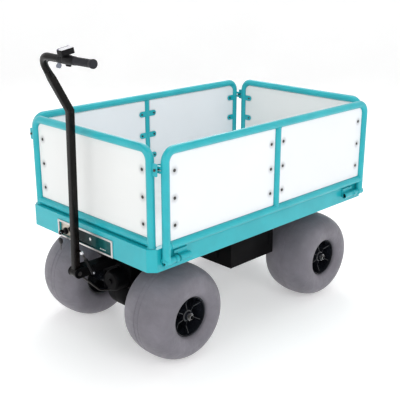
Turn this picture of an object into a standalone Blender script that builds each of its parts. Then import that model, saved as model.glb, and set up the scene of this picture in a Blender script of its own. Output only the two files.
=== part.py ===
"""Electric beach cart: deck wagon on four balloon wheels, folding side gates, steering handle.

Metres, +Z up, the handle end points to -Y, the cart's left side is +X, the ground is z = 0.
"""
import math

import bmesh
import bpy
from mathutils import Matrix, Vector

# ---------------------------------------------------------------- driving dimensions
DECK_HALF_W = 0.4170
DECK_HALF_L = 0.7200
DECK_BOTTOM = 0.4726
DECK_TOP = 0.5708
DECK_CHAMFER = 0.0290
RAIL_WIDTH = 0.0300
END_RAIL_WIDTH = 0.0500
PLATE_T = 0.0030
GAP = 0.0003

GATE_X = 0.4345
GATE_POST_Y = 0.6567
GATE_TOP = 0.9620
GATE_LOW_RAIL = 0.5790
TUBE_R = 0.0170
MID_R = 0.0150
BEND_R = 0.0460
PANEL_T = 0.0080
TAB_Z = (0.6565, 0.7676, 0.8787)
TAB_INSET = 0.0479
TAB_HALF = 0.0150

FENCE_Y = 0.6890
FENCE_POST_X = 0.3840
FENCE_TOP = 0.9660

HINGE_Z = 0.5145
SLEEVE_R = 0.0135
PIN_R = 0.0075
LATCH_X = 0.4165
LATCH_Z = 0.8920
PIN_START = 0.6985

TYRE_R = 0.2100
TYRE_HALF_W = 0.1300
RIM_R = 0.0902
WHEEL_X = 0.2983
FRONT_AXLE_Y = -0.5008
REAR_AXLE_Y = 0.4180
STUB_R = 0.0098

PIVOT = Vector((0.0, -0.7837, 0.3759))
MITRE = Vector((0.0, -0.7697, 1.0686))
BAR_CORNER = Vector((0.0, -0.8976, 1.2996))
BAR_BEND = 0.0650
BAR_R = 0.0130
GRIP_END = 0.3440
HANDLE_HALF = 0.0150
BALL = Vector((0.0400, -0.7760, 0.4720))
STRUT_FOOT = Vector((0.0400, -0.7250, 0.3680))
KEY = Vector((-0.1588, -0.7238, 0.5019))
SPARE_EYE = Vector((-0.1588, -0.7451, 0.5034))

FORWARD = Vector((0.0, 0.1043, 0.0))
TYRE_SIDES = 22

for old in list(bpy.data.objects):
    bpy.data.objects.remove(old, do_unlink=True)


# ---------------------------------------------------------------- materials and small helpers
def material(name, colour, rough, metal=0.0):
    mat = bpy.data.materials.new(name)
    mat.use_nodes = True
    shader = mat.node_tree.nodes["Principled BSDF"]
    shader.inputs["Base Color"].default_value = (*colour, 1.0)
    shader.inputs["Roughness"].default_value = rough
    shader.inputs["Metallic"].default_value = metal
    mat.diffuse_color = (*colour, 1.0)
    return mat


TEAL = (0.05, 0.56, 0.60)
BLACK = (0.02, 0.02, 0.022)
STEEL = (0.55, 0.56, 0.57)
WHITE = (0.86, 0.87, 0.88)


def publish(name, bm, colour, rough=0.4, metal=0.0, smooth=True):
    """Turn a bmesh into the named object with a material of its own."""
    bmesh.ops.recalc_face_normals(bm, faces=bm.faces)
    mesh = bpy.data.meshes.new(name)
    bm.to_mesh(mesh)
    bm.free()
    mesh.transform(Matrix.Translation(FORWARD))
    mesh.materials.append(material(name, colour, rough, metal))
    for poly in mesh.polygons:
        poly.use_smooth = smooth
    obj = bpy.data.objects.new(name, mesh)
    bpy.context.scene.collection.objects.link(obj)
    return obj


def hang(point, *names):
    """Put the named objects' origins on the axis their joint turns or slides on."""
    origin = point + FORWARD
    for name in names:
        obj = bpy.data.objects[name]
        obj.data.transform(Matrix.Translation(-origin))
        obj.location = origin


def box(lo, hi):
    bm = bmesh.new()
    size = [hi[k] - lo[k] for k in range(3)]
    mid = [(hi[k] + lo[k]) / 2 for k in range(3)]
    bmesh.ops.create_cube(bm, size=1.0, matrix=Matrix.Translation(mid) @ Matrix.Diagonal((*size, 1.0)))
    return bm


def loft(rings, closed=False):
    """Skin a list of equal rings; ends are capped unless the loft is closed on itself."""
    bm = bmesh.new()
    grid = [[bm.verts.new(p) for p in ring] for ring in rings]
    count = len(grid[0])
    pairs = list(zip(grid, grid[1:]))
    if closed:
        pairs.append((grid[-1], grid[0]))
    for a, b in pairs:
        for k in range(count):
            n = (k + 1) % count
            bm.faces.new((a[k], a[n], b[n], b[k]))
    if not closed:
        bm.faces.new(grid[0])
        bm.faces.new(list(reversed(grid[-1])))
    return bm


def frame_of(axis):
    axis = axis.normalized()
    side = Vector((0, 0, 1)) if abs(axis.z) < 0.9 else Vector((1, 0, 0))
    u = side.cross(axis).normalized()
    return u, axis.cross(u)


def rod(p0, p1, r, seg=12, r1=None, turn=0.0):
    """A solid cylinder or cone from p0 to p1."""
    p0, p1 = Vector(p0), Vector(p1)
    u, v = frame_of(p1 - p0)
    rings = []
    for p, rad in ((p0, r), (p1, r if r1 is None else r1)):
        angles = [2 * math.pi * (k + turn) / seg for k in range(seg)]
        rings.append([p + u * rad * math.cos(a) + v * rad * math.sin(a) for a in angles])
    return loft(rings)


def revolve(centre, axis, profile, seg=24, ring=False):
    """Revolve (distance along the axis, radius) pairs; ring=True closes the section on itself."""
    centre, axis = Vector(centre), Vector(axis).normalized()
    u, v = frame_of(axis)
    bm = bmesh.new()
    rows = []
    for t, r in profile:
        if r < 1e-9:
            rows.append([bm.verts.new(centre + axis * t)])
            continue
        row = []
        for k in range(seg):
            a = 2 * math.pi * k / seg
            row.append(bm.verts.new(centre + axis * t + u * r * math.cos(a) + v * r * math.sin(a)))
        rows.append(row)
    pairs = list(zip(rows, rows[1:]))
    if ring:
        pairs.append((rows[-1], rows[0]))
    for a, b in pairs:
        for k in range(seg):
            n = (k + 1) % seg
            if len(a) == 1 and len(b) == 1:
                continue
            if len(a) == 1:
                bm.faces.new((a[0], b[n], b[k]))
            elif len(b) == 1:
                bm.faces.new((a[k], a[n], b[0]))
            else:
                bm.faces.new((a[k], a[n], b[n], b[k]))
    return bm


def arc(centre, start, end, steps):
    """Points on a quarter-like arc about centre, from start to end, both included."""
    a, b = start - centre, end - centre
    angle = a.angle(b)
    out = []
    for k in range(steps + 1):
        w = k / steps
        out.append(centre + (a * math.sin((1 - w) * angle) + b * math.sin(w * angle)) / math.sin(angle))
    return out


def sweep(path, section, normal):
    """Sweep a section [(along normal, in plane)] on a planar path with mitred corners."""
    normal = Vector(normal).normalized()
    rings = []
    for k, p in enumerate(path):
        before = (p - path[k - 1]).normalized() if k else None
        after = (path[k + 1] - p).normalized() if k + 1 < len(path) else None
        before, after = before or after, after or before
        tangent = (before + after).normalized()
        spread = 1.0 / max(tangent.dot(before), 0.3)
        side = normal.cross(tangent)
        rings.append([p + normal * a + side * b * spread for a, b in section])
    return loft(rings)


def circle(r, seg=12):
    return [(r * math.cos(2 * math.pi * k / seg), r * math.sin(2 * math.pi * k / seg)) for k in range(seg)]


def square(half, corner):
    c = half - corner
    return [(half, -c), (half, c), (c, half), (-c, half), (-half, c), (-half, -c), (-c, -half), (c, -half)]


def prism(points, axis, lo, hi):
    """Extrude a closed outline, given in the two other axes in order, along one axis."""
    rings = []
    for level in (lo, hi):
        ring = []
        for a, b in points:
            xyz = [a, b]
            xyz.insert(axis, level)
            ring.append(Vector(xyz))
        rings.append(ring)
    return loft(rings)


def combine(first, others, operation):
    """Exact Boolean of bmeshes: first with each of the others in turn."""
    def holder(bm):
        bmesh.ops.recalc_face_normals(bm, faces=bm.faces)
        mesh = bpy.data.meshes.new("work")
        bm.to_mesh(mesh)
        bm.free()
        obj = bpy.data.objects.new("work", mesh)
        bpy.context.scene.collection.objects.link(obj)
        return obj

    target = holder(first)
    tools = [holder(bm) for bm in others]
    for tool in tools:
        tool.hide_render = True
        tool.display_type = "WIRE"
        step = target.modifiers.new("step", "BOOLEAN")
        step.operation = operation
        step.solver = "EXACT"
        step.object = tool
    deps = bpy.context.evaluated_depsgraph_get()
    result = bpy.data.meshes.new_from_object(target.evaluated_get(deps))
    out = bmesh.new()
    out.from_mesh(result)
    for obj in [target, *tools]:
        bpy.data.objects.remove(obj, do_unlink=True)
    bmesh.ops.remove_doubles(out, verts=out.verts, dist=0.00002)
    bmesh.ops.dissolve_limit(out, angle_limit=0.002, verts=out.verts, edges=out.edges)
    return out


def fuse(first, *others):
    return combine(first, others, "UNION")


def cut(first, *others):
    return combine(first, others, "DIFFERENCE")


def flip_x(bm):
    bmesh.ops.scale(bm, vec=(-1, 1, 1), verts=bm.verts)
    bmesh.ops.reverse_faces(bm, faces=bm.faces)
    return bm


def flip_y(bm):
    bmesh.ops.scale(bm, vec=(1, -1, 1), verts=bm.verts)
    bmesh.ops.reverse_faces(bm, faces=bm.faces)
    return bm


# ---------------------------------------------------------------- deck
def deck_outline(half_w, half_l, chamfer):
    c = chamfer
    w, n = half_w, half_l
    return [
        (w, -n + c), (w, n - c), (w - c, n), (-w + c, n),
        (-w, n - c), (-w, -n + c), (-w + c, -n), (w - c, -n),
    ]


def deck():
    ring = prism(deck_outline(DECK_HALF_W, DECK_HALF_L, DECK_CHAMFER), 2, DECK_BOTTOM, DECK_TOP)
    inner_w, inner_l = DECK_HALF_W - RAIL_WIDTH, DECK_HALF_L - END_RAIL_WIDTH
    ring = cut(
        ring,
        box((-inner_w, -inner_l, 0.4), (inner_w, inner_l, 0.7)),
        box((-0.1965, -0.73, 0.4780), (0.1690, -0.7080, 0.5405)),
    )
    beams = []
    for y in (FRONT_AXLE_Y, 0.04, REAR_AXLE_Y):
        beams.append(box((-inner_w - 0.005, y - 0.030, 0.5000), (inner_w + 0.005, y + 0.030, 0.5672)))
    publish("deck_frame", fuse(ring, *beams), TEAL, 0.35, smooth=False)
    top = box(
        (-inner_w + GAP, -inner_l + GAP, DECK_TOP - PLATE_T),
        (inner_w - GAP, inner_l - GAP, DECK_TOP),
    )
    publish("deck_plate", top, WHITE, 0.45, smooth=False)


def control_panel():
    face = -DECK_HALF_L - GAP
    bezel = cut(
        box((-0.2060, face - 0.0040, 0.4735), (0.1790, face, 0.5490)),
        box((-0.1960, -0.80, 0.4810), (0.1680, -0.70, 0.5400)),
    )
    publish("panel_bezel", bezel, (0.62, 0.60, 0.58), 0.3, 0.8, smooth=False)
    plate = box((-0.1955, -0.7135, 0.4785), (-0.0853, -0.7083, 0.5400))
    publish("panel_plate", plate, (0.62, 0.57, 0.50), 0.4, 0.3, False)
    window = box((-0.0850, -0.7165, 0.4785), (0.1685, -0.7083, 0.5400))
    publish("panel_window", window, (0.01, 0.02, 0.02), 0.08, 0.0, False)
    barrel = [(0, 0), (0, 0.0150), (0.007, 0.0150), (0.010, 0.0115), (0.010, 0)]
    publish("key_switch", revolve((KEY.x, -0.7138, KEY.z), (0, -1, 0), barrel, 16), BLACK, 0.35)
    socket = [
        (0, 0), (0, 0.0125), (0.006, 0.0125), (0.009, 0.0100),
        (0.009, 0.0070), (0.004, 0.0060), (0.004, 0),
    ]
    publish("charge_socket", revolve((-0.1195, -0.7138, 0.5200), (0, -1, 0), socket, 16), (0.1, 0.1, 0.1), 0.4)


def keys():
    """The key in the lock, and a spare on the same ring hanging from its bow."""
    y0 = KEY.y - GAP
    bow = cut(
        prism(key_bow(y0 - 0.0150, KEY.z), 0, KEY.x - 0.0022, KEY.x + 0.0022),
        rod((KEY.x - 0.01, y0 - 0.0210, KEY.z), (KEY.x + 0.01, y0 - 0.0210, KEY.z), 0.0038, 10),
    )
    shank = box((KEY.x - 0.0012, y0 - 0.0050, KEY.z - 0.0035), (KEY.x + 0.0012, y0, KEY.z + 0.0035))
    publish("ignition_key", fuse(bow, shank), BLACK, 0.4, smooth=False)
    ring_r = 0.0130
    wire = 0.0008
    centre = Vector((KEY.x, y0 - 0.0210, KEY.z - ring_r + 0.0015))
    rings = []
    for k in range(16):
        a = 2 * math.pi * k / 16
        out = Vector((math.cos(a), 0, math.sin(a)))
        rings.append([centre + out * (ring_r + wire * math.cos(b)) + Vector((0, wire * math.sin(b), 0))
                      for b in (0, math.pi / 2, math.pi, 3 * math.pi / 2)])
    loop = loft(rings, closed=True)
    low = centre.z - ring_r
    middle = Vector((centre.x, centre.y, low - 0.0140))
    head = rod(middle - Vector((0, 0.0026, 0)), middle + Vector((0, 0.0026, 0)), 0.0150, 14)
    blade = box(
        (middle.x - 0.0036, middle.y - 0.0011, low - 0.0590),
        (middle.x + 0.0036, middle.y + 0.0011, low - 0.0260),
    )
    publish("spare_key", fuse(loop, head, blade), BLACK, 0.4)


def key_bow(y_mid, z_mid):
    pts = []
    for k in range(12):
        a = 2 * math.pi * k / 12
        pts.append((y_mid + 0.0125 * math.cos(a), z_mid + 0.0115 * math.sin(a)))
    return pts


# ---------------------------------------------------------------- underbody
def underbody():
    base = [(0.3300, 0), (0.3300, 0.0200), (0.4375, 0.0200), (0.4375, 0.1400), (0.4550, 0.1400),
            (0.4550, 0.1000), (0.4997, 0.1000), (0.4997, 0)]
    publish("turntable_base", revolve((0, FRONT_AXLE_Y, 0), (0, 0, 1), base, 24), BLACK, 0.45)
    wall = 0.004
    shell = cut(
        box((-0.2700, -0.1100, 0.2670), (0.2700, 0.1900, 0.4997)),
        box((-0.2700 + wall, -0.1100 + wall, 0.2670 + wall), (0.2700 - wall, 0.1900 - wall, 0.60)),
    )
    publish("battery_box", shell, BLACK, 0.35, smooth=False)
    pack = box((-0.2000, -0.0900, 0.2713), (0.2000, 0.0700, 0.4400))
    publish("battery_pack", pack, (0.08, 0.09, 0.11), 0.5, smooth=False)
    controller = box((-0.0900, 0.0900, 0.2713), (0.0900, 0.1700, 0.3300))
    publish("motor_controller", controller, (0.30, 0.31, 0.32), 0.4, 0.6, False)
    stub = [(-0.4130, 0), (-0.4130, STUB_R), (-0.1640, STUB_R), (-0.1640, 0.0200),
            (0.1640, 0.0200), (0.1640, STUB_R), (0.4130, STUB_R), (0.4130, 0)]
    publish("rear_axle", revolve((0, REAR_AXLE_Y, TYRE_R), (1, 0, 0), stub, 16), BLACK, 0.4, 0.4)
    legs = box((-0.1400, REAR_AXLE_Y - 0.045, 0.4300), (0.1400, REAR_AXLE_Y + 0.045, 0.4997))
    plates = []
    for x in (-0.1300, 0.1300):
        plates.append(box((x - 0.006, REAR_AXLE_Y - 0.035, 0.1780), (x + 0.006, REAR_AXLE_Y + 0.035, 0.4400)))
    hole = rod((-0.2, REAR_AXLE_Y, TYRE_R), (0.2, REAR_AXLE_Y, TYRE_R), 0.0206, 16)
    publish("rear_subframe", cut(fuse(legs, *plates), hole), BLACK, 0.45, smooth=False)


def truck():
    """The steered front assembly: fork, axle with gear case, motor, tongue and its brace."""
    y = FRONT_AXLE_Y
    disc = rod((0, y, 0.4050), (0, y, 0.4370), 0.1400, 24)
    body = box((-0.1050, y - 0.0700, 0.2950), (0.1050, y + 0.0700, 0.4100))
    cheeks = []
    for x in (-0.1350, 0.1350):
        cheeks.append(box((x - 0.006, y - 0.035, 0.1780), (x + 0.006, y + 0.035, 0.4080)))
    fork = fuse(disc, body, *cheeks, box((-0.1400, y - 0.035, 0.3700), (0.1400, y + 0.035, 0.4080)))
    fork = cut(
        fork,
        rod((0, y, 0.30), (0, y, 0.50), 0.0205, 24),
        rod((-0.2, y, TYRE_R), (0.2, y, TYRE_R), 0.0206, 16),
    )
    publish("steering_fork", fork, BLACK, 0.45, smooth=False)
    half = [
        (0.0, 0.0800), (0.0550, 0.0780), (0.0850, 0.0500), (0.1100, 0.0200),
        (0.1640, 0.0200), (0.1640, STUB_R), (0.4130, STUB_R), (0.4130, 0),
    ]
    profile = [(-t, r) for t, r in reversed(half[1:])] + half
    publish("front_axle", revolve((0, y, TYRE_R), (1, 0, 0), profile, 16), BLACK, 0.4, 0.3)
    motor = [(0, 0), (0, 0.048), (0.055, 0.048), (0.068, 0.040), (0.068, 0.012), (0.076, 0.012), (0.076, 0)]
    publish("drive_motor", revolve((0.045, y - 0.0703, 0.3010), (0, -1, 0), motor, 20), BLACK, 0.35, 0.3)
    beam = box((-0.0220, -0.7480, 0.3570), (0.0220, y - 0.0703, 0.3950))
    ears = []
    for s in (-1, 1):
        outline = [(-0.7000, 0.3540), (-0.7000, 0.3980)]
        for k in range(9):
            a = math.pi / 2 + math.pi * k / 8
            outline.append((PIVOT.y + 0.0220 * math.cos(a), PIVOT.z + 0.0220 * math.sin(a)))
        lo, hi = sorted((s * 0.0210, s * 0.0270))
        ears.append(prism(outline, 0, lo, hi))
    foot_end = STRUT_FOOT + Vector((0.0080, 0, 0))
    foot = rod((0.0200, STRUT_FOOT.y, STRUT_FOOT.z), foot_end, 0.0040, 12)
    bore = rod((-0.05, PIVOT.y, PIVOT.z), (0.05, PIVOT.y, PIVOT.z), 0.0063, 16)
    tongue = cut(fuse(beam, *ears, foot), bore)
    publish("tongue", tongue, BLACK, 0.4, 0.3, False)
    bolt = [(-0.0350, 0), (-0.0350, 0.0100), (-0.0273, 0.0100), (-0.0273, 0.0060), (0.0273, 0.0060),
            (0.0273, 0.0095), (0.0300, 0.0095), (0.0300, 0)]
    publish("pivot_bolt", revolve(PIVOT, (1, 0, 0), bolt, 12), STEEL, 0.3, 1.0)
    brace = rod((-0.010, -0.7560, 0.3500), (-0.010, -0.6550, 0.2460), 0.0040, 10)
    brace = fuse(brace, rod((-0.010, -0.6560, 0.2470), (-0.010, -0.5790, 0.2250), 0.0040, 10))
    publish("tongue_brace", brace, (0.15, 0.15, 0.15), 0.35, 0.8)


# ---------------------------------------------------------------- handle
UP = (BAR_CORNER - MITRE).normalized()


def on_bend(x, s):
    """A point in the plane of the bar's bend: x along the bar, s back down the upper tube."""
    return BAR_CORNER + Vector((x, 0, 0)) - UP * s


def handle():
    low = PIVOT + (MITRE - PIVOT).normalized() * 0.010
    top = BAR_CORNER - UP * 0.0750
    tube = sweep([low, MITRE, top], square(HANDLE_HALF, 0.004), (1, 0, 0))
    barrel = rod((-0.0205, PIVOT.y, PIVOT.z), (0.0205, PIVOT.y, PIVOT.z), 0.0210, 16)
    bore = rod((-0.05, PIVOT.y, PIVOT.z), (0.05, PIVOT.y, PIVOT.z), 0.0063, 16)
    stud = rod((0.0100, BALL.y, BALL.z), (BALL.x + 0.0060, BALL.y, BALL.z), 0.0040, 12)
    publish("handle_tube", cut(fuse(tube, barrel, stud), bore), BLACK, 0.35, 0.2, False)

    bend = arc(on_bend(BAR_BEND, BAR_BEND), on_bend(0, BAR_BEND), on_bend(BAR_BEND, 0), 6)
    path = [on_bend(0, 0.0750 - GAP), *bend, on_bend(0.3330, 0)]
    normal = UP.cross(Vector((1, 0, 0)))
    publish("handle_bar", sweep(path, circle(BAR_R, 14), normal), BLACK, 0.3, 0.2)

    y, z = BAR_CORNER.y, BAR_CORNER.z
    bore_r = BAR_R + GAP
    grip = [
        (0.2360, bore_r), (0.2360, 0.0160), (0.2400, 0.0150), (0.3290, 0.0148), (0.3350, 0.0174),
        (GRIP_END, 0.0170), (GRIP_END, 0), (0.3334, 0), (0.3334, bore_r),
    ]
    publish("grip", revolve((0, y, z), (1, 0, 0), grip, 16, ring=True), BLACK, 0.75)
    clamp = [
        (0.1710, bore_r), (0.1710, 0.0185), (0.1760, 0.0200), (0.2130, 0.0200),
        (0.2260, 0.0175), (0.2355, 0.0170), (0.2355, bore_r),
    ]
    publish("throttle_clamp", revolve((0, y, z), (1, 0, 0), clamp, 16, ring=True), BLACK, 0.5)

    ring = [(0.1545, bore_r), (0.1545, 0.0175), (0.1705, 0.0175), (0.1705, bore_r)]
    tilt = Matrix.Translation((0.1810, y - 0.002, z + 0.0310)) @ Matrix.Rotation(math.radians(10), 4, "X")
    unit = box((-0.0180, -0.0280, -0.0080), (0.0180, 0.0280, 0.0080))
    bmesh.ops.transform(unit, matrix=tilt, verts=unit.verts)
    post = box((0.1560, y - 0.0080, z + 0.0145), (0.1700, y + 0.0080, z + 0.0260))
    band = revolve((0, y, z), (1, 0, 0), ring, 16, ring=True)
    publish("display", fuse(band, unit, post), BLACK, 0.4, smooth=False)
    cover = box((-0.0165, -0.0265, 0.0080 + GAP), (0.0165, 0.0265, 0.0130))
    bmesh.ops.transform(cover, matrix=tilt, verts=cover.verts)
    publish("display_cover", cover, (0.75, 0.76, 0.80), 0.25, 0.6, False)

    off = 0.0184
    cable_r = 0.0024
    mid = on_bend(BAR_BEND, BAR_BEND)
    curve = arc(mid, on_bend(BAR_BEND, off), on_bend(off, BAR_BEND), 6)
    route = [on_bend(0.1346, off), *curve, on_bend(off, 0.1000)]
    publish("throttle_cable", sweep(route, circle(cable_r, 8), normal), BLACK, 0.5)

    lever_ring = [(0.1350, bore_r), (0.1350, 0.0175), (0.1542, 0.0175), (0.1542, bore_r)]
    root = box((0.1370, -0.0030, -0.0250), (0.1530, 0.0030, -0.0145))
    paddle = box((0.1370, -0.0026, -0.0450), (0.1630, 0.0026, -0.0215))
    place = Matrix.Translation((0, y, z)) @ Matrix.Rotation(math.radians(-25), 4, "X")
    for piece in (root, paddle):
        bmesh.ops.transform(piece, matrix=place, verts=piece.verts)
    lever = fuse(revolve((0, y, z), (1, 0, 0), lever_ring, 16, ring=True), root, paddle)
    publish("throttle_lever", lever, (0.30, 0.32, 0.36), 0.4, smooth=False)


def strut():
    """Gas strut beside the handle's foot: bored cylinder below, rod above."""
    axis = (BALL - STRUT_FOOT).normalized()
    half_eye = Vector((0.0045, 0, 0))
    foot_eye = rod(STRUT_FOOT - half_eye, STRUT_FOOT + half_eye, 0.0090, 12)
    shell = rod(STRUT_FOOT + axis * 0.004, STRUT_FOOT + axis * 0.0780, 0.0080, 16)
    lower = cut(
        fuse(shell, foot_eye),
        rod(STRUT_FOOT + axis * 0.0160, STRUT_FOOT + axis * 0.1000, 0.0055, 16),
        rod((0, STRUT_FOOT.y, STRUT_FOOT.z), (0.08, STRUT_FOOT.y, STRUT_FOOT.z), 0.0043, 12),
    )
    publish("strut_cylinder", lower, BLACK, 0.3)
    reach = (BALL - STRUT_FOOT).length
    stem = rod(STRUT_FOOT + axis * 0.0200, STRUT_FOOT + axis * (reach - 0.004), 0.0034, 12)
    ball = [(0, 0), (0, 0.0065), (0.0025, 0.0092), (0.0080, 0.0092), (0.0110, 0.0065), (0.0110, 0)]
    eye = revolve(BALL - Vector((0.0055, 0, 0)), (1, 0, 0), ball, 14)
    upper = cut(fuse(stem, eye), rod((0, BALL.y, BALL.z), (0.08, BALL.y, BALL.z), 0.0043, 12))
    publish("strut_rod", upper, STEEL, 0.2, 1.0)


# ---------------------------------------------------------------- wheels
def tyre_profile():
    shoulder = 0.1330
    tall = TYRE_R / math.cos(math.pi / TYRE_SIDES) - shoulder
    power = 2.3
    half = [(0.0280, shoulder + tall)]
    for k in range(1, 4):
        a = math.pi / 2 * k / 4
        half.append((TYRE_HALF_W * math.sin(a) ** (2 / power), shoulder + tall * math.cos(a) ** (2 / power)))
    half.append((TYRE_HALF_W, shoulder))
    for k in (1, 2):
        a = math.pi / 2 * k / 2
        half.append((0.1040 + 0.0260 * math.cos(a), shoulder - 0.0425 * math.sin(a)))
    return [(-t, r) for t, r in reversed(half)] + half


def wheel(tag, x, y):
    """Balloon tyre and spoked hub; the hub's open dish faces outwards."""
    side = 1 if x > 0 else -1
    centre = Vector((x, y, TYRE_R))
    casing = revolve(centre, (side, 0, 0), tyre_profile(), TYRE_SIDES, ring=True)
    publish("tyre_" + tag, casing, (0.33, 0.31, 0.34), 0.7)
    rim = [
        (-0.1040, 0.0830), (-0.1040, RIM_R), (0.1040, RIM_R),
        (0.1040, 0.0860), (0.0300, 0.0780), (-0.0300, 0.0780),
    ]
    barrel = revolve(centre, (side, 0, 0), rim, TYRE_SIDES, ring=True)
    boss = [
        (-0.1200, 0.0103), (-0.1200, 0.0240), (0.0400, 0.0320),
        (0.0900, 0.0260), (0.1060, 0.0180), (0.1060, 0.0103),
    ]
    core = revolve(centre, (side, 0, 0), boss, 14, ring=True)
    spokes = []
    for k in range(6):
        bar = box((-0.0250, -0.0060, 0.0200), (0.0450, 0.0060, 0.0820))
        turn = Matrix.Rotation(math.pi * k / 3, 4, "X") @ Matrix.Diagonal((side, 1, 1, 1))
        bmesh.ops.transform(bar, matrix=Matrix.Translation(centre) @ turn, verts=bar.verts)
        spokes.append(bar)
    publish("hub_" + tag, fuse(core, *spokes, barrel), (0.015, 0.015, 0.018), 0.25, smooth=False)


# ---------------------------------------------------------------- gates, fences, hinges and latches
def portal(fixed_axis, level, half_span, top, foot):
    """Centre line of a post, rounded corner, top rail, rounded corner and post."""
    def at(h, z):
        return Vector((level, h, z)) if fixed_axis == 0 else Vector((h, level, z))
    low = top - BEND_R
    near = half_span - BEND_R
    left = arc(at(-near, low), at(-half_span, low), at(-near, top), 4)
    right = arc(at(near, low), at(near, top), at(half_span, low), 4)
    return [at(-half_span, foot), *left, *right, at(half_span, foot)]


def panel_outline(lo, hi, bottom, top, round_lo, round_hi):
    """Flat panel outline; the corners beside a bent tube are rounded off."""
    r = BEND_R - TUBE_R - 0.0008
    inner = r - 0.0012
    pts = [(lo, bottom), (hi, bottom)]
    if round_hi:
        pts.append((hi, top - r))
        for a in (math.radians(22.5), math.radians(67.5)):
            pts.append((hi - r + inner * math.cos(a), top - r + inner * math.sin(a)))
        pts.append((hi - r, top))
    else:
        pts.append((hi, top))
    if round_lo:
        pts.append((lo + r, top))
        for a in (math.radians(67.5), math.radians(22.5)):
            pts.append((lo + r - inner * math.cos(a), top - r + inner * math.sin(a)))
        pts.append((lo, top - r))
    else:
        pts.append((lo, top))
    return pts


def side_gate(tag, mirror):
    frame = sweep(portal(0, GATE_X, GATE_POST_Y, GATE_TOP, HINGE_Z), circle(TUBE_R), (1, 0, 0))
    rail_r = TUBE_R - 0.0006
    pieces = [
        rod((GATE_X, -GATE_POST_Y, GATE_LOW_RAIL), (GATE_X, GATE_POST_Y, GATE_LOW_RAIL), rail_r, 12, turn=0.5),
        rod((GATE_X, 0, GATE_LOW_RAIL), (GATE_X, 0, GATE_TOP), MID_R, 12),
    ]
    back = GATE_X - PANEL_T - GAP
    for z in TAB_Z:
        pieces.append(box((back - 0.0037, -0.0590, z - TAB_HALF), (back, 0.0590, z + TAB_HALF)))
        for s in (-1, 1):
            lo, hi = sorted((s * (GATE_POST_Y - 0.0060), s * (GATE_POST_Y - TAB_INSET - 0.0160)))
            pieces.append(box((back - 0.0037, lo, z - TAB_HALF), (back, hi, z + TAB_HALF)))
    for s in (-1, 1):
        near, far = s * (GATE_POST_Y - TUBE_R - 0.0004), s * (GATE_POST_Y + TUBE_R + 0.0006)
        pieces.append(rod((GATE_X, far, HINGE_Z), (GATE_X, near, HINGE_Z), TUBE_R + 0.0001, 16, turn=0.11))
        pieces.append(rod((GATE_X, s * 0.6680, HINGE_Z), (GATE_X, s * 0.5920, HINGE_Z), SLEEVE_R, 14))
        pieces.append(rod((GATE_X, s * 0.6130, HINGE_Z), (GATE_X, s * 0.5980, HINGE_Z), 0.0162, 14))
        pieces.append(rod((GATE_X, s * 0.6000, HINGE_Z), (GATE_X, s * 0.5400, HINGE_Z), PIN_R, 14))
        lo, hi = sorted((s * 0.6790, s * 0.6680))
        pieces.append(box((LATCH_X - 0.0080, lo, LATCH_Z - 0.0140), (GATE_X - 0.0040, hi, LATCH_Z + 0.0140)))
    frame = fuse(frame, *pieces)
    cutters = []
    for s in (-1, 1):
        cutters.append(rod((GATE_X, s * 0.7000, HINGE_Z), (GATE_X, s * 0.6650, HINGE_Z), 0.0085, 12))
        lo, hi = sorted((s * 0.6900, s * 0.6675))
        cutters.append(box((LATCH_X - 0.0300, lo, LATCH_Z - 0.0045), (LATCH_X + 0.0045, hi, LATCH_Z + 0.0045)))
    frame = cut(frame, *cutters)
    publish("gate_" + tag, flip_x(frame) if mirror else frame, TEAL, 0.35)
    near = MID_R + 0.0008
    far = GATE_POST_Y - TUBE_R - 0.0008
    low = GATE_LOW_RAIL + TUBE_R + 0.0008
    high = GATE_TOP - TUBE_R - 0.0008
    for end, lo, hi in (("front", -far, -near), ("rear", near, far)):
        outline = panel_outline(lo, hi, low, high, end == "front", end == "rear")
        slab = prism(outline, 0, GATE_X - PANEL_T, GATE_X)
        publish("gate_%s_panel_%s" % (tag, end), flip_x(slab) if mirror else slab, WHITE, 0.45, smooth=False)


def fence(tag, mirror):
    frame = sweep(portal(1, -FENCE_Y, FENCE_POST_X, FENCE_TOP, DECK_TOP + GAP), circle(TUBE_R), (0, 1, 0))
    low_z = DECK_TOP + TUBE_R + 0.0004
    rail_r = TUBE_R - 0.0006
    pieces = [rod((-FENCE_POST_X, -FENCE_Y, low_z), (FENCE_POST_X, -FENCE_Y, low_z), rail_r, 12, turn=0.5)]
    back = -FENCE_Y + PANEL_T + GAP
    for z in TAB_Z:
        for s in (-1, 1):
            lo, hi = sorted((s * (FENCE_POST_X - 0.0060), s * (FENCE_POST_X - TAB_INSET - 0.0160)))
            pieces.append(box((lo, back, z - TAB_HALF), (hi, back + 0.0037, z + TAB_HALF)))
    for s in (-1, 1):
        lo, hi = sorted((s * (FENCE_POST_X + 0.0080), s * (LATCH_X + 0.0105)))
        pieces.append(box((lo, -0.6930, LATCH_Z - 0.0260), (hi, -0.6890, LATCH_Z + 0.0260)))
    frame = fuse(frame, *pieces)
    holes = [rod((s * LATCH_X, -0.72, LATCH_Z), (s * LATCH_X, -0.68, LATCH_Z), 0.0042, 12) for s in (-1, 1)]
    frame = cut(frame, *holes)
    publish("fence_" + tag, flip_y(frame) if mirror else frame, TEAL, 0.35)
    far = FENCE_POST_X - TUBE_R - 0.0008
    outline = panel_outline(-far, far, low_z + TUBE_R + 0.0008, FENCE_TOP - TUBE_R - 0.0008, True, True)
    slab = prism(outline, 1, -FENCE_Y, -FENCE_Y + PANEL_T)
    publish("fence_%s_panel" % tag, flip_y(slab) if mirror else slab, WHITE, 0.45, smooth=False)


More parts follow.
